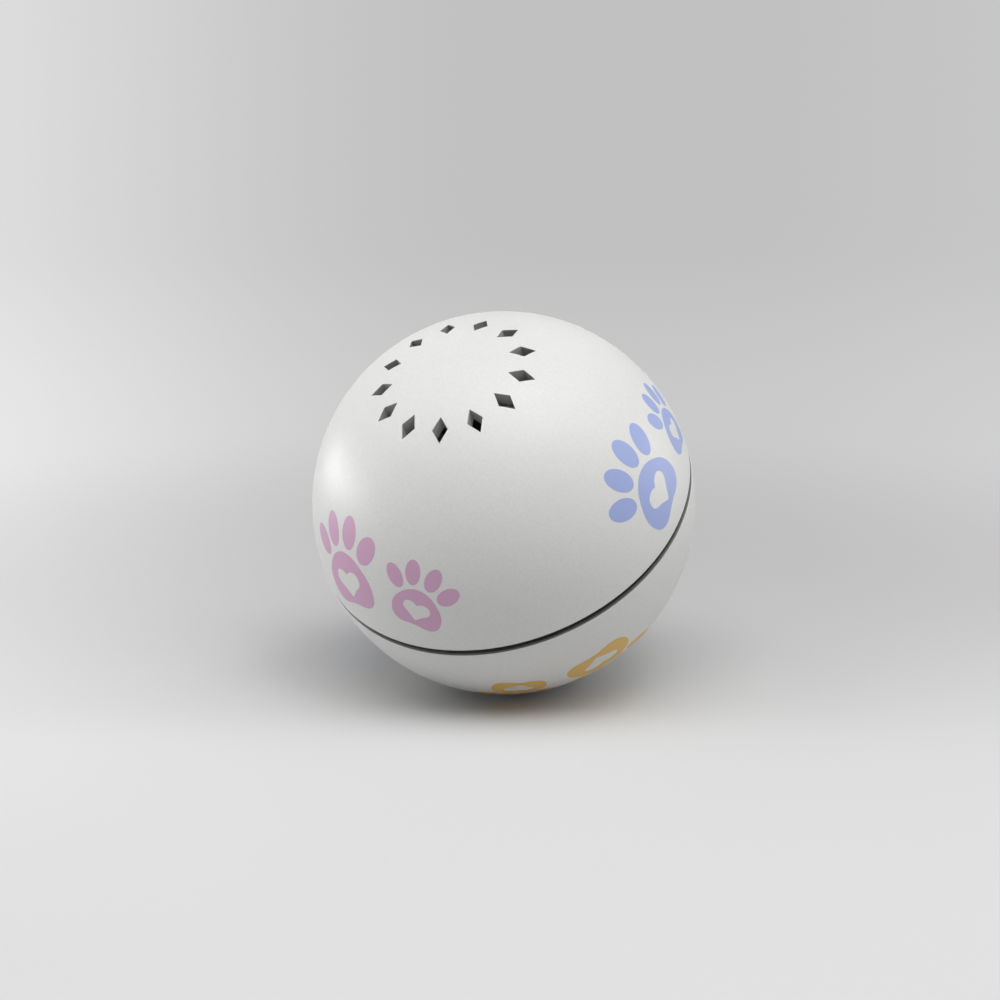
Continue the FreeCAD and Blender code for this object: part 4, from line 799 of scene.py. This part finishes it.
def track_routes(box):
    """The tracks' lines from piece to piece, in plan."""
    chip, charger, switch = box["controller_chip"], box["charger_chip"], box["power_switch"]
    usb, led, sensor = box["usb_socket"], box["status_led"], box["vibration_sensor"]
    battery_plug, motor_plug = box["battery_connector"], box["motor_connector"]
    edge = box["circuit_board"].high.y
    # from the chip to the motor's plug, the socket and the board's edge
    routes = []
    for k in range(4):
        y = chip.middle.y + CHIP_PITCH * (2 - k)
        x = motor_plug.high.x + 0.8 + 0.55 * k
        routes.append([(chip.low.x - 0.7, y), (x + 0.8, y), (x, y - 0.8), (x, motor_plug.low.y - 0.2)])
    for k in range(3):
        x, y = chip.middle.x + CHIP_PITCH * (k - 2), usb.high.y - 0.3 * k
        routes.append([(x, chip.low.y - 0.7), (x, y + 0.9), (x + 0.4, y + 0.3)])
    for along in steps(3, CHIP_PITCH):
        x = chip.middle.x + along
        routes.append([(x, chip.high.y + 0.7), (x, edge - 0.5)])
    # from the charger to the switch, and past the socket to the status light
    for k in range(3):
        y = charger.high.y - 0.55 - CHARGER_PITCH * k
        routes.append([(charger.high.x + 0.6, y), (switch.low.x - 1.4 - 0.3 * k, y),
                       (switch.low.x - 0.4, y - 1.0)])
    x = charger.low.x
    routes.append([(x - 0.6, charger.low.y + 0.4), (x - 1.5, charger.low.y - 0.6),
                   (x - 1.5, usb.high.y + 0.6), (x - 0.5, usb.high.y - 0.6),
                   (led.low.x - 0.8, led.high.y + 0.4), (led.low.x - 0.2, led.high.y - 0.4)])
    # from the battery's plug to the sensor and the socket
    y = battery_plug.low.y + 1.0
    routes.append([(battery_plug.low.x - 0.4, y), (sensor.high.x + 0.6, y), (sensor.high.x + 0.1, y - 0.5)])
    y = battery_plug.high.y - 1.0
    routes.append([(battery_plug.high.x + 0.4, y), (usb.low.x - 0.6, y)])
    # from the switch round to the board's edge
    x, y = switch.high.x, switch.high.y
    routes.append([(x + 0.4, y - 1.2), (x + 1.8, y - 1.2), (x + 2.6, y - 0.4), (x + 2.6, edge - 0.6)])
    return routes


def make_board_details(finishes):
    names = ("circuit_board", "controller_chip", "charger_chip", "usb_socket", "battery_connector",
             "motor_connector", "power_switch", "vibration_sensor", "status_led")
    box = {name: node_box(name) for name in names}
    top = box["circuit_board"].high.z
    for make in (chip_legs, component_caps, solder_joints, board_outlines, board_tracks):
        make(finishes, box, top)


# Floor and backdrop, in metres from under the ball, with Y straight away from the camera

FLOOR_Z = -BALL_RADIUS * MM
FLOOR_HALF = 30.0
FLOOR_ROUGHNESS = 0.9
# Grey levels of the floor from the nearest to the farthest of two places along Y
FLOOR_REACH = (-0.10, 0.90)
FLOOR_STOPS = (
    (0.0, 0.75), (0.08, 0.73), (0.14, 0.58), (0.20, 0.57), (0.30, 0.60), (0.55, 0.57), (1.0, 0.53),
)
# Distances from the ball between which the floor's own level gives way to the world's
FLOOR_FAR = (0.40, 1.40)
# The floor lights the ball with this share of its colour.
FLOOR_BOUNCE = 0.80
# The shadow is left as it falls near the ball and fades out between these distances.
SHADOW_FADE = (0.08, 0.27)
# In front of the ball the shadow is lightened by painted light, a share of the floor's glow, between these
# places along Y.
FRONT_GLOW_FADE = (-0.012, -0.038)
FRONT_GLOW_SHARE = 0.65
# The side light, painted into the floor's colour and the backdrop's glow: levels by X over Y, from
# -SIDE_REACH to SIDE_REACH, as shares of SIDE_TOP, because a ramp holds no level over 1. It fades out away
# from straight ahead, between two shares of Y in the direction.
SIDE_REACH = 0.30
SIDE_TOP = 1.4
SIDE_STOPS = (
    (0.0, 1.0), (0.12, 0.93), (0.28, 0.79), (0.45, 0.71), (0.75, 0.71), (0.95, 0.77), (1.0, 0.77),
)
SIDE_AHEAD = (0.60, 0.95)
SIDE_LEAST_Y = 0.01
# On the floor it is reckoned from a point this far in front of the ball, and sets in between two
# places along Y.
SIDE_ORIGIN = 0.35
SIDE_START = (-0.12, 0.11)
WORLD_SEEN = 0.53
WORLD_LIGHT = 0.03


def painted_side_light(tree, x, y):
    """Painted side light: brighter to the left and a little to the right of the line behind the ball, and
    even elsewhere.
    """
    slant = tree.maths("DIVIDE", x, tree.maths("MAXIMUM", y, SIDE_LEAST_Y))
    along = tree.span(slant, (-SIDE_REACH, SIDE_REACH), 0.0, 1.0)
    level = tree.span(tree.ramp(along, SIDE_STOPS), (0.0, 1.0), 0.0, SIDE_TOP)
    flat = tree.node("ShaderNodeCombineXYZ")
    tree.feed(flat.inputs["X"], x)
    tree.feed(flat.inputs["Y"], y)
    unit = tree.node("ShaderNodeVectorMath", operation="NORMALIZE")
    tree.feed(unit.inputs[0], flat.outputs[0])
    return tree.fade(tree.parts(unit.outputs["Vector"])["Y"], SIDE_AHEAD, 1.0, level)


def make_floor():
    material = bpy.data.materials.new("studio_floor")
    material.use_nodes = True
    tree = NodeTree(material.node_tree)
    shader = material.node_tree.nodes["Principled BSDF"]
    shader.inputs["Roughness"].default_value = FLOOR_ROUGHNESS
    shader.inputs["Specular IOR Level"].default_value = 0.0

    point = tree.node("ShaderNodeTexCoord").outputs["Object"]
    split = tree.parts(point)
    depth = split["Y"]
    distance = tree.length(point)
    shown = tree.shown()
    near = tree.ramp(tree.span(depth, FLOOR_REACH, 0.0, 1.0), FLOOR_STOPS)
    colour = tree.fade(distance, FLOOR_FAR, near, WORLD_SEEN)
    # The painted side light, brighter to the left, on the floor's colour and its glow.
    side = painted_side_light(tree, split["X"], tree.maths("ADD", depth, SIDE_ORIGIN))
    side = tree.fade(depth, SIDE_START, 1.0, side)
    lit = tree.maths("MULTIPLY", colour, tree.span(shown, (0.0, 1.0), FLOOR_BOUNCE, side))
    tree.feed(shader.inputs["Base Color"], lit)

    # The floor's glow is painted light, with the painted side light in it. It replaces the lit floor away
    # from the ball and, by a share, in front of it.
    glow = tree.node("ShaderNodeEmission")
    tree.feed(glow.inputs["Strength"], tree.maths("MULTIPLY", colour, side))
    away = tree.fade(distance, SHADOW_FADE, 0.0, 1.0)
    front = tree.fade(depth, FRONT_GLOW_FADE, 0.0, FRONT_GLOW_SHARE)
    share = tree.maths("MULTIPLY", tree.maths("MAXIMUM", away, front), shown)
    tree.output("Material Output", share, shader, glow)

    corners = [(-FLOOR_HALF, -FLOOR_HALF, 0), (FLOOR_HALF, -FLOOR_HALF, 0),
               (FLOOR_HALF, FLOOR_HALF, 0), (-FLOOR_HALF, FLOOR_HALF, 0)]
    floor = object_from("studio_floor", corners, [(0, 1, 2, 3)], material)
    floor.location = (0, 0, FLOOR_Z)
    floor.rotation_euler = (0, 0, CAMERA_AZIMUTH)


def make_world():
    world = bpy.data.worlds.new("studio")
    world.use_nodes = True
    tree = NodeTree(world.node_tree)
    light = world.node_tree.nodes["Background"]
    light.inputs["Color"].default_value = (1.0, 1.0, 1.0, 1.0)
    light.inputs["Strength"].default_value = WORLD_LIGHT
    seen = tree.node("ShaderNodeBackground")
    seen.inputs["Color"].default_value = (WORLD_SEEN, WORLD_SEEN, WORLD_SEEN, 1.0)
    to_camera = tree.node("ShaderNodeVectorRotate", rotation_type="Z_AXIS")
    to_camera.inputs["Angle"].default_value = -CAMERA_AZIMUTH
    tree.feed(to_camera.inputs["Vector"], tree.node("ShaderNodeTexCoord").outputs["Generated"])
    direction = tree.parts(to_camera.outputs["Vector"])
    # The backdrop's glow carries the painted side light.
    tree.feed(seen.inputs["Strength"], painted_side_light(tree, direction["X"], direction["Y"]))
    tree.output("World Output", tree.shown(), light, seen)
    bpy.context.scene.world = world


# Lamps

LAMP_DISTANCE = 0.90
# name, angle over the level as seen from the ball and turn from the camera's side in degrees,
# width and height in metres, power in watts
LAMPS = (
    ("top", 69, 0, 0.75, 0.75, 5.25),
    ("high_left", 45, -80, 0.55, 0.60, 1.65),
    ("high_right", 55, 60, 0.80, 0.65, 2.90),
    ("right", 30, 80, 0.30, 0.60, 0.45),
    ("low_left", 0, -109, 0.75, 0.25, 5.10),
    ("low_right", 8, 110, 0.40, 0.50, 1.60),
)


def make_lamps():
    for name, height, turn, wide, tall, power in LAMPS:
        data = bpy.data.lights.new(name, "AREA")
        data.shape = "RECTANGLE"
        data.size, data.size_y = wide, tall
        data.energy = power
        direction = outward(CAMERA_AZIMUTH + math.radians(turn), math.radians(height))
        look_at_ball(name, data, direction, LAMP_DISTANCE)


bpy.context.scene.view_settings.view_transform = "Standard"
make_camera()
finishes = make_finishes()
for part in frame["record"]["subparts"]:
    name = part["node"] if part["node"] in finishes else part["material_slot"]
    for slot in nodes[part["node"]].material_slots:
        slot.material = finishes[name].material
make_prints(finishes)
make_board_details(finishes)
make_floor()
make_world()
make_lamps()
